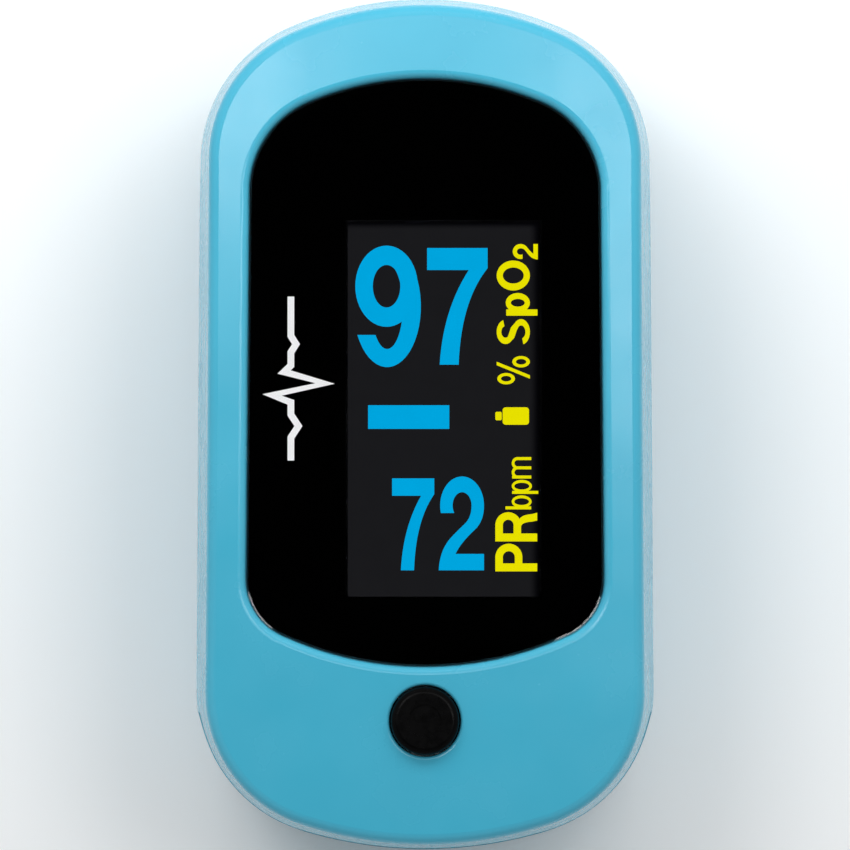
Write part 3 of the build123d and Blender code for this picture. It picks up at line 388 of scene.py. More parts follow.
def polyimide():
    """Amber film with copper tracks under it."""
    paint = Paint("polyimide", (0.55, 0.22, 0.03), 0.3, Coat_Weight=0.4)
    across = paint.math("MULTIPLY", paint.axis("X"), 2000.0)
    track = paint.band(paint.math("FRACT", across), 0.25, 0.75, 0.06)
    paint.colour_from(paint.mix(track, (0.58, 0.25, 0.035), (0.36, 0.12, 0.02)))
    paint.vary_roughness(0.22, 0.36, 1500.0)
    paint.bump(track, 0.012 * MM)
    return paint


def board_green():
    """Solder mask over copper: tracks, a ground pour and a scatter of tinned vias."""
    paint = Paint("board_green", (0.01, 0.12, 0.04), 0.35, Coat_Weight=0.3)
    runs = paint.node("ShaderNodeTexBrick", paint.place, offset=0.35, squash=1.4, squash_frequency=3)
    runs.inputs["Scale"].default_value = 320.0
    runs.inputs["Mortar Size"].default_value = 0.045
    runs.inputs["Mortar Smooth"].default_value = 0.3
    copper = runs.outputs["Fac"]
    vias = paint.node("ShaderNodeTexVoronoi", paint.place, feature="F1")
    vias.inputs["Scale"].default_value = 420.0
    vias.inputs["Randomness"].default_value = 0.6
    via_ring = paint.math("LESS_THAN", vias.outputs["Distance"], 0.13)
    mask = paint.ramp(paint.noise(900.0), (0.008, 0.10, 0.035), (0.012, 0.14, 0.05))
    masked = paint.mix(copper, mask, (0.02, 0.21, 0.07))
    paint.colour_from(paint.mix(via_ring, masked, (0.55, 0.52, 0.45)))
    paint.tree.links.new(via_ring, paint.shader.inputs["Metallic"])
    paint.vary_roughness(0.28, 0.42, 1800.0)
    paint.bump(copper, 0.02 * MM)
    paint.bump(via_ring, 0.02 * MM)
    return paint


def passives():
    """Chip bodies of tan ceramic, mottled, in tinned ends."""
    paint = Paint("passives", (0.30, 0.20, 0.11), 0.5)
    across = paint.math("FRACT", paint.math("MULTIPLY_ADD", paint.axis("X"), 1000.0 / 3.0, 0.5))
    ends = paint.math("SUBTRACT", 1.0, paint.band(across, 0.17, 0.83, 0.01))
    body = paint.ramp(paint.noise(3000.0), (0.24, 0.15, 0.08), (0.38, 0.27, 0.16))
    paint.colour_from(paint.mix(ends, (0.62, 0.61, 0.58), body))
    paint.vary_roughness(0.35, 0.6, 4000.0)
    paint.bump(paint.noise(9000.0), 0.006 * MM)
    return paint


def pale_plastic(name, low, high, roughness, grain):
    """White moulding with a fine sparked texture."""
    paint = Paint(name, high, roughness)
    paint.vary_colour(low, high, 250.0)
    paint.vary_roughness(roughness - 0.08, roughness + 0.08, 1500.0)
    paint.bump(paint.noise(grain, 3.0), 0.01 * MM)
    return paint


def silicone():
    """Soft dark grey silicone: matt, slightly velvety, with a fine skin and dust."""
    paint = Paint("silicone", (0.035, 0.040, 0.048), 0.62, Sheen_Weight=0.25, Sheen_Roughness=0.4)
    dust = paint.ramp(paint.noise(5200.0, 4.0), (0.032, 0.037, 0.045), (0.055, 0.060, 0.068), 0.45, 0.8)
    paint.colour_from(dust)
    paint.vary_roughness(0.52, 0.72, 900.0)
    paint.bump(paint.noise(7000.0, 3.0), 0.012 * MM)
    return paint


def clear_part(name, colour, roughness):
    """A small clear moulding, faintly clouded."""
    paint = Paint(name, colour, roughness, IOR=1.5, Transmission_Weight=0.85)
    paint.vary_colour(tuple(0.94 * c for c in colour), colour, 1200.0)
    paint.vary_roughness(roughness, roughness + 0.08, 1800.0)
    return paint


def metal(name, colour, roughness, drawn_along, grain=2500.0):
    """Bare or plated metal with fine lines along one axis and faint blotches."""
    paint = Paint(name, colour, roughness, Metallic=1.0)
    stretch = tuple(0.06 if letter == drawn_along else 1.0 for letter in "XYZ")
    lines = paint.noise(grain, 4.0, stretch)
    paint.colour_from(paint.ramp(paint.noise(500.0), tuple(0.86 * c for c in colour), colour))
    paint.vary_roughness(roughness - 0.08, roughness + 0.12, grain / 2, stretch)
    paint.bump(lines, 0.004 * MM)
    return paint


def cell_sleeve():
    """A plain sleeve: dark body, a copper-coloured band at the nub with a pale line by it, bare ends."""
    paint = Paint("cell_sleeve", (0.02, 0.022, 0.028), 0.25, Coat_Weight=0.4)
    along = paint.axis("Y")
    right = paint.math("GREATER_THAN", paint.axis("X"), 0.0)
    left_low, left_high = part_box("battery_cell_left")
    right_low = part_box("battery_cell_right")[0]
    from_nub_left = paint.math("SUBTRACT", left_high.y, along)
    from_nub_right = paint.math("SUBTRACT", along, right_low.y)
    span = left_high.y - left_low.y
    away = paint.node("ShaderNodeMix", right, data_type="FLOAT")
    paint.tree.links.new(from_nub_left, away.inputs["A"])
    paint.tree.links.new(from_nub_right, away.inputs["B"])
    distance = away.outputs["Result"]
    copper = paint.band(distance, 1.9 * MM, 11.0 * MM, 0.03 * MM)
    sleeve = paint.band(distance, 1.5 * MM, span - 0.9 * MM, 0.03 * MM)
    line = paint.band(distance, 11.8 * MM, 12.2 * MM, 0.03 * MM)
    body = paint.ramp(paint.noise(1500.0), (0.018, 0.020, 0.026), (0.024, 0.026, 0.033))
    printed = paint.mix(copper, body, (0.42, 0.17, 0.06))
    printed = paint.mix(line, printed, (0.6, 0.6, 0.6))
    paint.colour_from(paint.mix(sleeve, (0.66, 0.64, 0.60), printed))
    bare = paint.math("SUBTRACT", 1.0, sleeve)
    paint.tree.links.new(bare, paint.shader.inputs["Metallic"])
    paint.vary_roughness(0.18, 0.32, 1200.0)
    paint.bump(sleeve, 0.06 * MM)
    return paint


def lead_sleeve():
    """Soft wire insulation: red on one lead, black on the other."""
    paint = Paint("lead_sleeve", (0.35, 0.02, 0.015), 0.4)
    black = paint.math("GREATER_THAN", paint.axis("X"), 0.0)
    red = paint.ramp(paint.noise(1500.0), (0.32, 0.018, 0.014), (0.42, 0.026, 0.02))
    paint.colour_from(paint.mix(black, red, (0.012, 0.012, 0.013)))
    paint.vary_roughness(0.34, 0.5, 2500.0)
    paint.bump(paint.noise(6000.0), 0.006 * MM)
    return paint


def glow(name, colour, strength):
    """A lit area of the display. Its brightness wavers slightly, as on a real panel."""
    paint = Paint(name, (0.0, 0.0, 0.0), 0.4)
    paint.shader.inputs["Specular IOR Level"].default_value = 0.0
    light = paint.ramp(paint.noise(700.0), tuple(0.97 * c for c in colour), colour)
    paint.tree.links.new(light, paint.shader.inputs["Emission Color"])
    paint.shader.inputs["Emission Strength"].default_value = strength
    paint.vary_roughness(0.35, 0.45, 1000.0)
    return paint


PAINTS = {
    "shell_blue": shell_blue(),
    "lens": lens(),
    "ink_black": ink_black(),
    "adhesive": adhesive(),
    "button_black": button_black(),
    "display_glass": display_glass(),
    "holder_black": dark_plastic("holder_black", 0.012),
    "foam": foam(),
    "polyimide": polyimide(),
    "board_green": board_green(),
    "chip_black": dark_plastic("chip_black", 0.014),
    "passives": passives(),
    "connector_white": pale_plastic("connector_white", (0.66, 0.63, 0.55), (0.72, 0.69, 0.61), 0.5, 9000.0),
    "switch_metal": metal("switch_metal", (0.62, 0.62, 0.62), 0.3, "X"),
    "frame_white": pale_plastic("frame_white", (0.74, 0.76, 0.78), (0.80, 0.81, 0.82), 0.48, 5000.0),
    "silicone": silicone(),
    "led_clear": clear_part("led_clear", (0.90, 0.86, 0.72), 0.12),
    "optic_window": clear_part("optic_window", (0.93, 0.94, 0.95), 0.05),
    "diode_black": dark_plastic("diode_black", 0.02),
    "steel": metal("steel", (0.66, 0.67, 0.69), 0.28, "X"),
    "spring_steel": metal("spring_steel", (0.55, 0.55, 0.57), 0.26, "Y"),
    "nickel": metal("nickel", (0.68, 0.65, 0.60), 0.22, "X"),
    "cell_sleeve": cell_sleeve(),
    "lead_sleeve": lead_sleeve(),
}


def dress(thing, slot):
    """Give a mesh object one material, that of a slot."""
    thing.data.materials.clear()
    thing.data.materials.append(PAINTS[slot].material)


def dress_nodes():
    """Each CAD node takes the procedural material of its slot."""
    for part in frame["record"]["subparts"]:
        node = nodes[part["node"]]
        for index in range(len(node.material_slots)):
            node.material_slots[index].material = PAINTS[part["material_slot"]].material


# ---------------------------------------------------------------- mesh helpers


def new_piece(name, mesh, slot, body=None):
    """A mesh as a piece of the object, in a slot's material, riding on a body if one is given."""
    piece = bpy.data.objects.new(name, mesh)
    bpy.context.scene.collection.objects.link(piece)
    if slot in PAINTS:
        dress(piece, slot)
    if body:
        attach(piece, body)
    return piece


def tube(name, points, radius, slot):
    """A round wire through points, its ends closed."""
    curve = bpy.data.curves.new(name, "CURVE")
    curve.dimensions = "3D"
    curve.bevel_depth = radius
    curve.bevel_resolution = 4
    curve.use_fill_caps = True
    spline = curve.splines.new("POLY")
    spline.points.add(len(points) - 1)
    for point, place in zip(spline.points, points):
        point.co = (*place, 1)
    mesh = mesh_of(name, curve)
    for face in mesh.polygons:
        face.use_smooth = True
    return new_piece(name, mesh, slot)


def mesh_of(name, curve):
    """The mesh that a curve makes."""
    carrier = bpy.data.objects.new(name + "_curve", curve)
    bpy.context.scene.collection.objects.link(carrier)
    bpy.context.view_layer.update()
    evaluated = carrier.evaluated_get(bpy.context.evaluated_depsgraph_get())
    mesh = bpy.data.meshes.new_from_object(evaluated)
    mesh.name = name
    bpy.data.objects.remove(carrier)
    return mesh


def solid_mesh(name, shape, sharp_angle):
    """The mesh of a closed bmesh, smooth up to an angle in degrees."""
    bmesh.ops.recalc_face_normals(shape, faces=shape.faces)
    mesh = bpy.data.meshes.new(name)
    shape.to_mesh(mesh)
    shape.free()
    mesh.shade_smooth()
    mesh.set_sharp_from_angle(angle=math.radians(sharp_angle))
    return mesh


def flat_solid(name, loops, bottom, top):
    """The mesh of a flat solid from bottom to top, whose outline is one or more loops of (x, y) points."""
    curve = bpy.data.curves.new(name, "CURVE")
    curve.dimensions = "2D"
    curve.fill_mode = "BOTH"
    curve.extrude = (top - bottom) / 2
    for loop in loops:
        spline = curve.splines.new("POLY")
        spline.points.add(len(loop) - 1)
        for point, (x, y) in zip(spline.points, loop):
            point.co = (x, y, 0, 1)
        spline.use_cyclic_u = True
    mesh = mesh_of(name, curve)
    for vertex in mesh.vertices:
        vertex.co.z += (bottom + top) / 2
    return mesh


def rounded_box(low_x, high_x, low_y, high_y, radius, steps=6):
    """The outline of a rectangle with rounded corners, counter-clockwise."""
    outline = []
    corners = (
        (high_x - radius, high_y - radius, 0.0),
        (low_x + radius, high_y - radius, math.pi / 2),
        (low_x + radius, low_y + radius, math.pi),
        (high_x - radius, low_y + radius, 1.5 * math.pi),
    )
    for x, y, start in corners:
        for step in range(steps + 1):
            angle = start + math.pi / 2 * step / steps
            outline.append((x + radius * math.cos(angle), y + radius * math.sin(angle)))
    return outline


MITRE_LIMIT = 0.35  # the least cosine of a corner's half angle that is still mitred in full


def stroke(points, width):
    """The outline of a band of constant width along a line of points, with mitred corners."""
    left, right = [], []
    for index, point in enumerate(points):
        before = (Vector(point) - Vector(points[index - 1])).normalized() if index else None
        after = (Vector(points[index + 1]) - Vector(point)).normalized() if index < len(points) - 1 else None
        along = ((before or after) + (after or before)).normalized()
        side = Vector((-along.y, along.x))
        reach = width / 2 / max(MITRE_LIMIT, along.dot(after or before))
        left.append(tuple(Vector(point) + side * reach))
        right.append(tuple(Vector(point) - side * reach))
    return left + right[::-1]


# ---------------------------------------------------------------- what the display shows

panel_low, panel_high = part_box("display_panel")
mask_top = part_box("window_mask")[1].z
screen_centre = ((panel_low.x + panel_high.x) / 2, (panel_low.y + panel_high.y) / 2)
SCREEN_HALF = (6.43 * MM, 12.56 * MM)
SCREEN_CORNER = 0.1 * MM
SHADE_RIGHT = 0.75 * MM  # how far the mask's shadow reaches in from the right edge
SHADE_FAR = 0.5 * MM  # and from the far edge
lit_bottom = panel_high.z + 0.01 * MM
lit_top = lit_bottom + 0.03 * MM
figure_top = lit_top + 0.05 * MM


def lit_screen():
    """The panel's lit area: near black, darker along the right and far edges, where the mask shades it."""
    x, y = screen_centre
    half_x, half_y = SCREEN_HALF
    paint = Paint("screen_glow", (0.0, 0.0, 0.0), 0.4)
    paint.shader.inputs["Specular IOR Level"].default_value = 0.0
    from_right = paint.math("SUBTRACT", x + half_x, paint.axis("X"))
    from_far = paint.math("SUBTRACT", y + half_y, paint.axis("Y"))
    shade = paint.math(
        "MULTIPLY",
        paint.step(from_right, SHADE_RIGHT / 2, SHADE_RIGHT / 2),
        paint.step(from_far, SHADE_FAR / 2, SHADE_FAR / 2),
    )
    grey = paint.ramp(paint.noise(600.0), (0.0112, 0.0112, 0.0126), (0.0120, 0.0120, 0.0136))
    light = paint.mix(shade, (0.0008, 0.0008, 0.0014), grey)
    paint.tree.links.new(light, paint.shader.inputs["Emission Color"])
    paint.shader.inputs["Emission Strength"].default_value = 1.0
    paint.vary_roughness(0.35, 0.45, 1000.0)
    outline = rounded_box(x - half_x, x + half_x, y - half_y, y + half_y, SCREEN_CORNER, 3)
    mesh = flat_solid("lit_screen", [outline], lit_bottom, lit_top)
    piece = new_piece("lit_screen", mesh, None, "upper_half")
    piece.data.materials.append(paint.material)


digit_blue = glow("digit_blue", (0.0, 0.40, 0.77), 1.09)
label_yellow = glow("label_yellow", (0.87, 0.80, 0.0), 1.09)
# painted light: the printed pulse icon is made to glow white, though it is no lamp
icon_painted_glow = glow("icon_painted_glow", (0.97, 0.97, 0.97), 1.0)


def ellipse(centre, radii, start=0.0, end=360.0, steps=48):
    """Points along an ellipse, from one angle to another in degrees."""
    count = max(4, round(steps * abs(end - start) / 360.0))
    points = []
    for step in range(count + 1):
        angle = math.radians(start + (end - start) * step / count)
        points.append((centre[0] + radii[0] * math.cos(angle), centre[1] + radii[1] * math.sin(angle)))
    return points


def ring(centre, outer, inner):
    """The two loops of an elliptical ring."""
    return [ellipse(centre, outer)[:-1], ellipse(centre, inner, 360.0, 0.0)[:-1]]


def bow(centre, outer, inner, start, end, inner_end=None):
    """The loop of a thick elliptical arc; its inner edge may stop at another angle than its outer one."""
    return ellipse(centre, outer, start, end) + ellipse(centre, inner, inner_end or end, start)


def block(low_x, low_y, high_x, high_y):
    return [(low_x, low_y), (high_x, low_y), (high_x, high_y), (low_x, high_y)]


def curved(start, control, end, steps=14):
    """Points along a quadratic curve."""
    points = []
    for step in range(steps + 1):
        t = step / steps
        a, b, c = (1 - t) ** 2, 2 * t * (1 - t), t * t
        points.append(tuple(a * p + b * q + c * r for p, q, r in zip(start, control, end)))
    return points


# Each sign is a list of solids, and each solid is a list of loops: an outline and the holes in it.
# A sign stands upright and is about 1 high; figure() fits it to its box.


LIGHT_STROKES = (0.115, 0.42)  # the bar and the bowl of the lighter small letters


def sign_nine():
    """A nine: a closed bowl, and a tail that curls under it from its right side."""
    bowl = ring((0.255, 0.666), (0.255, 0.334), (0.112, 0.175))
    tail = bow((0.26, 0.5), (0.275, 0.5), (0.128, 0.351), 62.0, -152.0, -138.0)
    return [bowl, [tail]]


def sign_seven():
    """A seven: a level bar and a leg that bends down from its right end."""
    outer = curved((0.519, 0.827), (0.290, 0.542), (0.271, 0.0))
    inner = curved((0.108, 0.0), (0.136, 0.467), (0.357, 0.811))
    return [[[(0.0, 1.0), (0.0, 0.811), *inner[::-1], *outer[::-1], (0.519, 1.0)]]]


def sign_two():
    """A two: a hook over the top, and a sweep down to a level foot."""
    hook = bow((0.247, 0.690), (0.232, 0.310), (0.100, 0.142), 0.0, 195.0, 214.0)
    right_side = curved((0.479, 0.690), (0.479, 0.520), (0.377, 0.428), 8)
    right_side += curved((0.377, 0.428), (0.230, 0.290), (0.178, 0.175), 8)
    foot = [(0.479, 0.175), (0.479, 0.0)]
    left_side = curved((0.0, 0.0), (0.010, 0.200), (0.110, 0.325), 8)
    left_side += curved((0.110, 0.325), (0.150, 0.375), (0.270, 0.490), 8)
    left_side += curved((0.270, 0.490), (0.347, 0.560), (0.347, 0.690), 8)
    return [[hook], [right_side + foot + left_side]]


def sign_o():
    return [ring((0.44, 0.5), (0.44, 0.5), (0.235, 0.315))]


def sign_p(bar=0.19, bowl=0.50):
    """A small p: a stem as wide as the bar, and a bowl that starts halfway across it."""
    middle = 0.62
    radii = ((bowl + bar / 2) / 2, 1 - middle)
    hole = (radii[0] - 0.95 * bar, radii[1] - 0.85 * bar)
    return [[block(0.0, 0.0, bar, 0.985)], ring((bar / 2 + radii[0], middle), radii, hole)]


def sign_b():
    """A small b: the light p upside down."""
    return [[[(x, 1.0 - y) for x, y in loop][::-1] for loop in solid] for solid in sign_p(*LIGHT_STROKES)]


def sign_s():
    """A capital S: two open arcs and the slanting stretch between them."""
    upper = bow((0.365, 0.735), (0.345, 0.265), (0.165, 0.125), 15.0, 225.0, 215.0)
    lower = bow((0.365, 0.265), (0.365, 0.265), (0.185, 0.130), 195.0, 405.0, 395.0)
    upper_edge = [(0.121, 0.548), (0.230, 0.663), (0.50, 0.567), (0.62, 0.45)]
    lower_edge = [(0.517, 0.340), (0.40, 0.40), (0.20, 0.47)]
    return [[upper], [lower], [upper_edge + lower_edge]]


def sign_percent():
    small, hole = (0.215, 0.265), (0.105, 0.155)
    return [
        ring((0.215, 0.715), small, hole),
        ring((0.855, 0.265), small, hole),
        [[(0.215, 0.0), (0.345, 0.0), (0.855, 1.0), (0.725, 1.0)]],
    ]


def lobe(stem, top, bottom, reach, bar):
    """The bowl of a capital P or R: level bars from the stem, joined by a half circle."""
    half = (top - bottom) / 2
    centre = (reach - half, bottom + half)
    outer = [(stem / 2, bottom), (centre[0], bottom)]
    outer += ellipse(centre, (half, half), -90, 90)
    outer += [(stem / 2, top)]
    hole = [(stem, top - bar), (centre[0], top - bar)]
    hole += ellipse(centre, (half - bar, half - bar), 90, -90)
    hole += [(stem, bottom + bar)]
    return [outer, hole]


def sign_capital_p():
    return [[block(0.0, 0.0, 0.19, 1.0)], lobe(0.19, 1.0, 0.355, 0.66, 0.18)]


def sign_capital_r():
    leg = [(0.36, 0.47), *curved((0.50, 0.44), (0.64, 0.40), (0.655, 0.12), 8), (0.69, 0.0)]
    leg += [(0.50, 0.0), *curved((0.475, 0.12), (0.46, 0.37), (0.36, 0.385), 8)]
    return [[block(0.0, 0.0, 0.19, 1.0)], lobe(0.19, 1.0, 0.385, 0.70, 0.18), [leg]]


def sign_m():
    """A small m: a stem and two arches."""
    pitch, bar = 0.46, 0.15
    solids = [[block(0.0, 0.0, bar, 0.98)]]
    for left in (0.0, pitch):
        centre = (left + (pitch + bar) / 2, 0.70)
        outer, inner = ((pitch + bar) / 2, 0.30), ((pitch - bar) / 2, 0.16)
        solids.append([bow(centre, outer, inner, 0.0, 160.0)])
        solids.append([block(left + pitch, 0.0, left + pitch + bar, 0.71)])
    return solids


def figure(name, solids, x_range, y_range, paint, turned=False):
    """A sign fitted to a box on the lit screen, in millimetres; a turned one reads upwards, along +Y."""
    if turned:
        solids = [[[(-y, x) for x, y in loop] for loop in solid] for solid in solids]
    every = [point for solid in solids for loop in solid for point in loop]
    least = [min(point[axis] for point in every) for axis in (0, 1)]
    most = [max(point[axis] for point in every) for axis in (0, 1)]
    low = (x_range[0] * MM, y_range[0] * MM)
    size = ((x_range[1] - x_range[0]) * MM, (y_range[1] - y_range[0]) * MM)
    scale = [size[axis] / (most[axis] - least[axis]) for axis in (0, 1)]

    def placed(point):
        return tuple(low[axis] + (point[axis] - least[axis]) * scale[axis] for axis in (0, 1))

    joined = bmesh.new()
    for solid in solids:
        loops = [[placed(point) for point in loop] for loop in solid]
        joined.from_mesh(flat_solid(name, loops, lit_top, figure_top))
    mesh = bpy.data.meshes.new(name)
    joined.to_mesh(mesh)
    joined.free()
    mesh.materials.append(paint.material)
    new_piece(name, mesh, None, "upper_half")


def display_figures():
    """Two readings, the pulse bar between them, a battery mark and the units."""
    figure("digit_tens_upper", sign_nine(), (-4.68, -0.28), (3.87, 12.02), digit_blue)
    figure("digit_ones_upper", sign_seven(), (0.14, 4.20), (4.03, 11.86), digit_blue)
    figure("digit_tens_lower", sign_seven(), (-2.21, 0.62), (-9.77, -3.60), digit_blue)
    figure("digit_ones_lower", sign_two(), (0.92, 3.96), (-9.77, -3.47), digit_blue)
    figure("pulse_bar", [[block(0, 0, 1, 1)]], (-3.82, 1.63), (-0.28, 1.31), digit_blue)
    figure("battery_mark", [[rounded_box(0, 3, 0, 2, 0.35)]], (5.21, 6.98), (0.0, 1.17), label_yellow)
    figure("battery_mark_nub", [[rounded_box(0, 1, 0, 1, 0.2)]], (4.72, 5.15), (0.30, 0.87), label_yellow)
    units = (
        ("unit_percent", sign_percent(), (4.81, 7.04), (2.71, 4.61)),
        ("unit_s", sign_s(), (4.81, 7.04), (5.40, 7.09)),
        ("unit_p", sign_p(), (5.42, 7.55), (7.32, 8.84)),
        ("unit_o", sign_o(), (4.81, 7.04), (9.01, 11.02)),
        ("unit_two", sign_two(), (5.89, 7.57), (11.09, 12.13)),
        ("unit_capital_p", sign_capital_p(), (4.72, 7.53), (-9.84, -7.98)),
        ("unit_capital_r", sign_capital_r(), (4.72, 7.53), (-7.83, -5.87)),
        ("unit_b", sign_b(), (5.40, 7.15), (-5.68, -4.74)),
        ("unit_small_p", sign_p(*LIGHT_STROKES), (5.82, 7.60), (-4.64, -3.70)),
        ("unit_m", sign_m(), (5.82, 7.13), (-3.61, -2.17)),
    )
    for name, solids, x_range, y_range in units:
        figure(name, solids, x_range, y_range, label_yellow, True)


TRACE_Y = (-2.4 * MM, 8.6 * MM)
TRACE_BASE_X = -9.0 * MM
TRACE_HEIGHT = 2.3 * MM
TRACE_WIDTH = 0.45 * MM
TRACE_SUNK = 0.002 * MM
TRACE_DEPTH = 0.012 * MM
PULSE_TRACE = [  # how far along and how high, each as a share
    (0.0, 0.0), (0.24, 0.0), (0.29, 0.15), (0.34, 0.0), (0.42, 0.0), (0.46, -0.20), (0.53, 1.0),
    (0.60, -0.55), (0.645, 0.0), (0.72, 0.0), (0.79, 0.22), (0.86, 0.0), (1.0, 0.0),
]


def pulse_icon():
    """A plain printed heartbeat trace on the window's underside, beside the screen; its white is a painted
    glow, emissive though the print is no lamp.
    """
    near_y, far_y = TRACE_Y
    points = []
    for along, rise in PULSE_TRACE:
        points.append((TRACE_BASE_X + TRACE_HEIGHT * rise, far_y + (near_y - far_y) * along))
    bottom = mask_top - TRACE_SUNK
    mesh = flat_solid("pulse_trace_icon", [stroke(points, TRACE_WIDTH)], bottom, bottom + TRACE_DEPTH)
    piece = new_piece("pulse_trace_icon", mesh, None, "upper_half")
    piece.data.materials.append(icon_painted_glow.material)


# ---------------------------------------------------------------- finger pads

PAD_THICKNESS = 0.92 * MM
CHANNEL_HALF = 8.0 * MM
OUTER_HALF = 9.0 * MM
RIM_HEIGHT = 0.5 * MM
END_WALL = 1.0 * MM
MOUTH_Y = -19.4 * MM
MOUTH_CORNER = 2.0 * MM
UPPER_MOUTH_Z = 21.3 * MM
LOWER_MOUTH_Z = 15.2 * MM
RIB_PITCH = 2.1 * MM
RIB_HEIGHT = 0.16 * MM
RIB_FADE = 2.0 * MM  # the ribs rise to their height over this stretch at each end of the pad
RIB_SHARE = 0.86  # of the channel's half width, where the ribs end
LIP_HEIGHT = 0.22 * MM
LIP_WIDTH = 0.55 * MM
HOLE_MARGIN = 0.1 * MM  # between the optical window and the pad's hole for it
EDGE_RIM = 0.02 * MM  # the pad's edge where the finger's entry has cut its rim away
ROW_PITCH = 0.28 * MM
COLUMNS = 18  # on each side of the middle
HOLE_COLUMNS = 4  # of those, across half of the hole
MERGE = 0.004 * MM
TINY = 1e-7


def arc_height(x, half, edge, crest):
    """The height at x of the arc through (half, edge) and (0, crest)."""
    rise = abs(crest - edge)
    radius = (half**2 + rise**2) / (2 * rise)
    sign = 1.0 if crest > edge else -1.0
    return crest - sign * (radius - math.sqrt(max(0.0, radius**2 - x**2)))


def arc_reach(level, half, edge, crest):
    """How far out that arc is at a level."""
    rise = abs(crest - edge)
    radius = (half**2 + rise**2) / (2 * rise)
    drop = radius - abs(crest - level)
    return math.sqrt(max(0.0, radius**2 - drop**2))


def share(value):
    """A value held between 0 and 1."""
    return min(1.0, max(0.0, value))


def pad_columns(hole_x):
    """Where the pad's inner points stand across the channel, as shares of its half width."""
    columns = []
    hole_share = hole_x / CHANNEL_HALF
    for index in range(-COLUMNS, COLUMNS + 1):
        if abs(index) <= HOLE_COLUMNS:
            columns.append(hole_share * index / HOLE_COLUMNS)
        else:
            beyond = (abs(index) - HOLE_COLUMNS) / (COLUMNS - HOLE_COLUMNS)
            columns.append(math.copysign(hole_share + (1 - hole_share) * beyond, index))
    return columns


def pad_rows(low_y, high_y, hole_y):
    """Where the pad's sections stand along the finger: evenly, and at every edge that has to be sharp."""
    rows = [low_y, low_y + 0.15 * MM, low_y + 0.4 * MM]
    y = low_y + 0.8 * MM
    while y < high_y - END_WALL - 0.3 * MM:
        if min(abs(y - fixed) for fixed in (*hole_y, MOUTH_Y)) > 0.12 * MM:
            rows.append(y)
        y += ROW_PITCH
    rows += [*hole_y, MOUTH_Y, MOUTH_Y + EDGE_RIM, high_y - END_WALL]
    return sorted(rows)


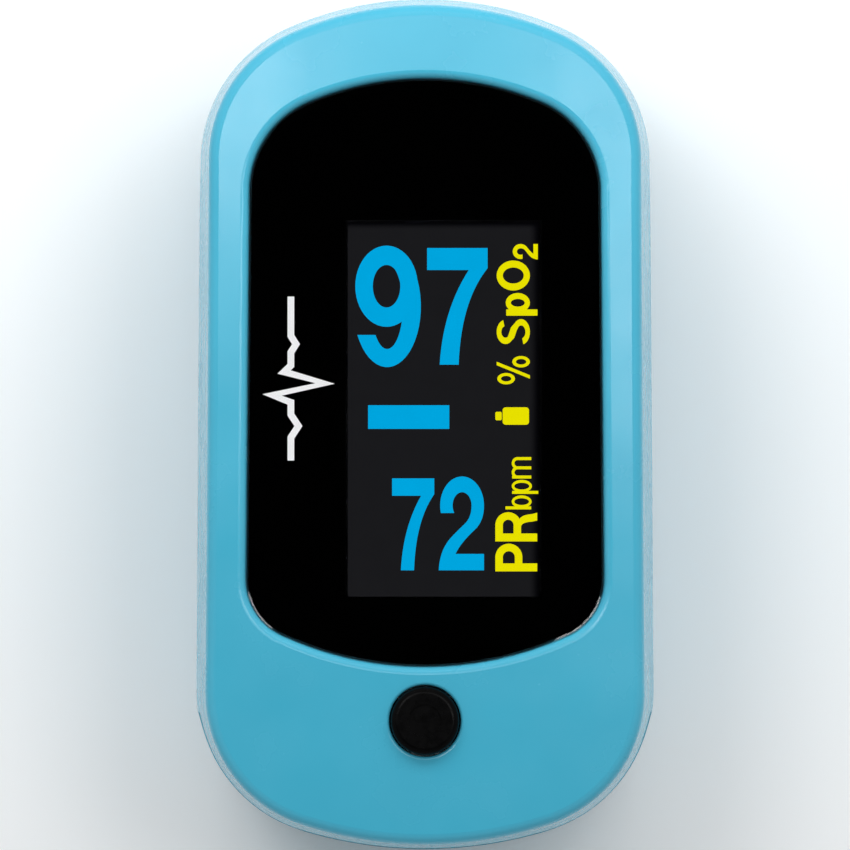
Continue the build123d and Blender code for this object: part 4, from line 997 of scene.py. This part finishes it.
def finger_pad(name, node, window_node, mouth_level, direction):
    """A moulded silicone trough: ribs across it, a raised lip round the optical window, a closed rear end."""
    low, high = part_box(node)
    window_low, window_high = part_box(window_node)
    edge = low.z if direction > 0 else high.z
    crest = high.z if direction > 0 else low.z
    inner_crest = crest - direction * PAD_THICKNESS
    hole_x = window_high.x + HOLE_MARGIN
    hole_y = (window_low.y - HOLE_MARGIN, window_high.y + HOLE_MARGIN)

    def edge_at(y):
        """The level where the pad's sides end at y; the finger's entry cuts them back."""
        if y > MOUTH_Y + 10 * TINY:
            return edge
        centre = mouth_level - direction * MOUTH_CORNER
        over = min(1.0, max(-1.0, (y - MOUTH_Y + MOUTH_CORNER) / MOUTH_CORNER))
        level = centre + direction * MOUTH_CORNER * math.sqrt(1 - max(0.0, over) ** 2)
        return max(level, edge) if direction > 0 else min(level, edge)

    def relief(x, y):
        """How far the inner face stands into the channel: soft ribs, and a lip round the window."""
        away_x = max(0.0, abs(x) - hole_x)
        away_y = max(0.0, hole_y[0] - y, y - hole_y[1])
        away = math.hypot(away_x, away_y)
        lip = LIP_HEIGHT * math.exp(-((away / LIP_WIDTH) ** 2))
        rib = RIB_HEIGHT * 0.5 * (1 - math.cos(2 * math.pi * (y - hole_y[0]) / RIB_PITCH))
        fade = share((away - 1.2 * MM) / (1.0 * MM))
        fade *= share((CHANNEL_HALF * RIB_SHARE - abs(x)) / (1.5 * MM))
        fade *= share((y - low.y - 1.0 * MM) / RIB_FADE)
        fade *= share((high.y - END_WALL - 0.5 * MM - y) / RIB_FADE)
        return lip + rib * fade

    columns = pad_columns(hole_x)
    rows = pad_rows(low.y, high.y, hole_y)
    mesh = bmesh.new()
    sections = []

    def outer_place(column, has_rim, outer_reach):
        """Where a column meets the outer face; across the hole it keeps its place."""
        if not has_rim:
            return column * outer_reach
        x = abs(column) * CHANNEL_HALF
        if x > hole_x * (1 + 1e-4):
            x = hole_x + (outer_reach - hole_x) * (x - hole_x) / (CHANNEL_HALF - hole_x)
        return math.copysign(x, column)

    def add_section(y, hollow=True):
        """One loop of points round the pad at y: the inner face, one rim, the outer face, the other rim."""
        level = edge_at(y)
        has_rim = abs(level - edge) < TINY
        rim = high.x if has_rim else arc_reach(level, OUTER_HALF, edge, crest)
        rim_level = level + direction * (RIM_HEIGHT if has_rim else EDGE_RIM)
        inner_reach = arc_reach(level, CHANNEL_HALF, edge, inner_crest)
        outer_reach = arc_reach(rim_level, OUTER_HALF, edge, crest)
        places = []
        for column in columns:
            x = column * inner_reach
            z = arc_height(x, CHANNEL_HALF, edge, inner_crest) - direction * relief(x, y)
            places.append((x, z if hollow else level))
        places += [(rim, level), (rim, rim_level)]
        for column in reversed(columns):
            x = outer_place(column, has_rim, outer_reach)
            places.append((x, arc_height(x, OUTER_HALF, edge, crest)))
        places += [(-rim, rim_level), (-rim, level)]
        sections.append([mesh.verts.new((x, y, z)) for x, z in places])

    for y in rows:
        add_section(y)
    add_section(high.y - END_WALL + EDGE_RIM, hollow=False)
    add_section(high.y, hollow=False)

    count = len(columns)
    first, last = COLUMNS - HOLE_COLUMNS, COLUMNS + HOLE_COLUMNS
    outer_first = count + 2 + (count - 1 - last)
    outer_last = count + 2 + (count - 1 - first)
    hole_rows = [index for index, y in enumerate(rows) if hole_y[0] - TINY <= y <= hole_y[1] + TINY]
    for row, (section, following) in enumerate(zip(sections, sections[1:])):
        in_hole = hole_rows[0] <= row < hole_rows[-1]
        for column, start in enumerate(section):
            if in_hole and (first <= column < last or outer_first <= column < outer_last):
                continue
            beside = (column + 1) % len(section)
            mesh.faces.new((start, section[beside], following[beside], following[column]))
    # the hole's walls
    for row in range(hole_rows[0], hole_rows[-1]):
        section, following = sections[row], sections[row + 1]
        for inner, outer in ((first, outer_last), (last, outer_first)):
            mesh.faces.new((section[inner], following[inner], following[outer], section[outer]))
    for row in (hole_rows[0], hole_rows[-1]):
        section = sections[row]
        for inner in range(first, last):
            outer = outer_last - (inner - first)
            mesh.faces.new((section[inner], section[inner + 1], section[outer - 1], section[outer]))
    mesh.faces.new(sections[0])
    mesh.faces.new(sections[-1])
    bmesh.ops.remove_doubles(mesh, verts=mesh.verts, dist=MERGE)
    made = solid_mesh(name, mesh, 50)
    piece = new_piece(name, made, "silicone", "upper_half" if direction > 0 else "lower_half")
    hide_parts(node)


# ---------------------------------------------------------------- springs and the flex cable

HINGE_Y = 13.0 * MM
HINGE_Z = 17.0 * MM
# in millimetres
SPRING = {"inner_x": 3.4, "radius": 1.75, "pitch": 0.82, "wire": 0.35, "lower_leg": 7.0, "upper_leg": 8.6}
SPRING_TURNS = 4.5
SPRING_STEPS = 140
LOWER_LEG_DROP = math.radians(8.0)
UPPER_LEG_RISE = math.radians(30.0)


def torsion_spring(name, side):
    """A wound spring round the hinge pin, with a leg along the floor of each frame and just clear of it."""
    turn = SPRING_TURNS * 2 * math.pi - LOWER_LEG_DROP - UPPER_LEG_RISE
    radius, pitch = SPRING["radius"], SPRING["pitch"]

    def place(angle):
        across = side * (SPRING["inner_x"] + pitch * (angle - LOWER_LEG_DROP) / (2 * math.pi))
        return Vector((across, -radius * math.sin(angle), -radius * math.cos(angle)))

    def heading(angle):
        slope = side * pitch / (2 * math.pi)
        return Vector((slope, -radius * math.cos(angle), radius * math.sin(angle))).normalized()

    points = [place(LOWER_LEG_DROP) - heading(LOWER_LEG_DROP) * SPRING["lower_leg"]]
    points += [place(LOWER_LEG_DROP + turn * step / SPRING_STEPS) for step in range(SPRING_STEPS + 1)]
    points.append(points[-1] + heading(LOWER_LEG_DROP + turn) * SPRING["upper_leg"])
    points = [(p.x * MM, HINGE_Y + p.y * MM, HINGE_Z + p.z * MM) for p in points]
    piece = tube(name + "_wound", points, SPRING["wire"] * MM, "spring_steel")
    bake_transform(piece)
    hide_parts(name)


# the route, the bend and the step are in millimetres
RIBBON_ROUTE = [(-1.3, 13.69), (-0.4, 13.69), (0.6, 13.42), (11.2, 13.42), (11.2, 25.3), (12.65, 25.3)]
RIBBON_HALF_WIDTH = 2.5 * MM
RIBBON_THICKNESS = 0.15 * MM
RIBBON_BEND = 0.5
RIBBON_STEP = 0.5


def rounded_route(route, radius, steps=6):
    """A route of (y, z) corners in millimetres, each corner rounded, and its long runs divided."""
    points = [Vector(route[0])]
    for before, corner, after in zip(route, route[1:], route[2:]):
        corner = Vector(corner)
        back = (Vector(before) - corner).normalized()
        ahead = (Vector(after) - corner).normalized()
        start, end = corner + back * radius, corner + ahead * radius
        for step in range(steps + 1):
            t = step / steps
            points.append((1 - t) ** 2 * start + 2 * t * (1 - t) * corner + t * t * end)
    points.append(Vector(route[-1]))
    divided = [points[0]]
    for point in points[1:]:
        parts = max(1, math.ceil((point - divided[-1]).length / RIBBON_STEP))
        start = divided[-1]
        divided += [start.lerp(point, part / parts) for part in range(1, parts + 1)]
    return divided


def flex_ribbon():
    """The ribbon from the sensor board up to the main board, one fixed mesh with a bend by the hinge, where
    the halves open.
    """
    centre = rounded_route(RIBBON_ROUTE, RIBBON_BEND)
    mesh = bmesh.new()
    sections = []
    for index, point in enumerate(centre):
        before = centre[max(0, index - 1)]
        after = centre[min(len(centre) - 1, index + 1)]
        along = (after - before).normalized()
        side = Vector((-along.y, along.x)) * (RIBBON_THICKNESS / MM / 2)
        section = []
        for x, offset in ((-1, -1), (1, -1), (1, 1), (-1, 1)):
            y, z = point + side * offset
            section.append(mesh.verts.new((x * RIBBON_HALF_WIDTH, y * MM, z * MM)))
        sections.append(section)
    for section, following in zip(sections, sections[1:]):
        for column in range(4):
            beside = (column + 1) % 4
            mesh.faces.new((section[column], section[beside], following[beside], following[column]))
    mesh.faces.new(sections[0])
    mesh.faces.new(sections[-1])
    piece = new_piece("flex_ribbon", solid_mesh("flex_ribbon", mesh, 40), "polyimide")
    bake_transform(piece)
    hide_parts("flex_cable")


# ---------------------------------------------------------------- the scene

bpy.context.scene.view_settings.view_transform = "Standard"
make_camera()
make_world()
make_lights()
make_floor()

dress_nodes()
lit_screen()
display_figures()
pulse_icon()
finger_pad("upper_pad_moulding", "upper_finger_pad", "emitter_window", UPPER_MOUTH_Z, 1)
finger_pad("lower_pad_moulding", "lower_finger_pad", "sensor_window", LOWER_MOUTH_Z, -1)
torsion_spring("torsion_spring_left", -1)
torsion_spring("torsion_spring_right", 1)
flex_ribbon()
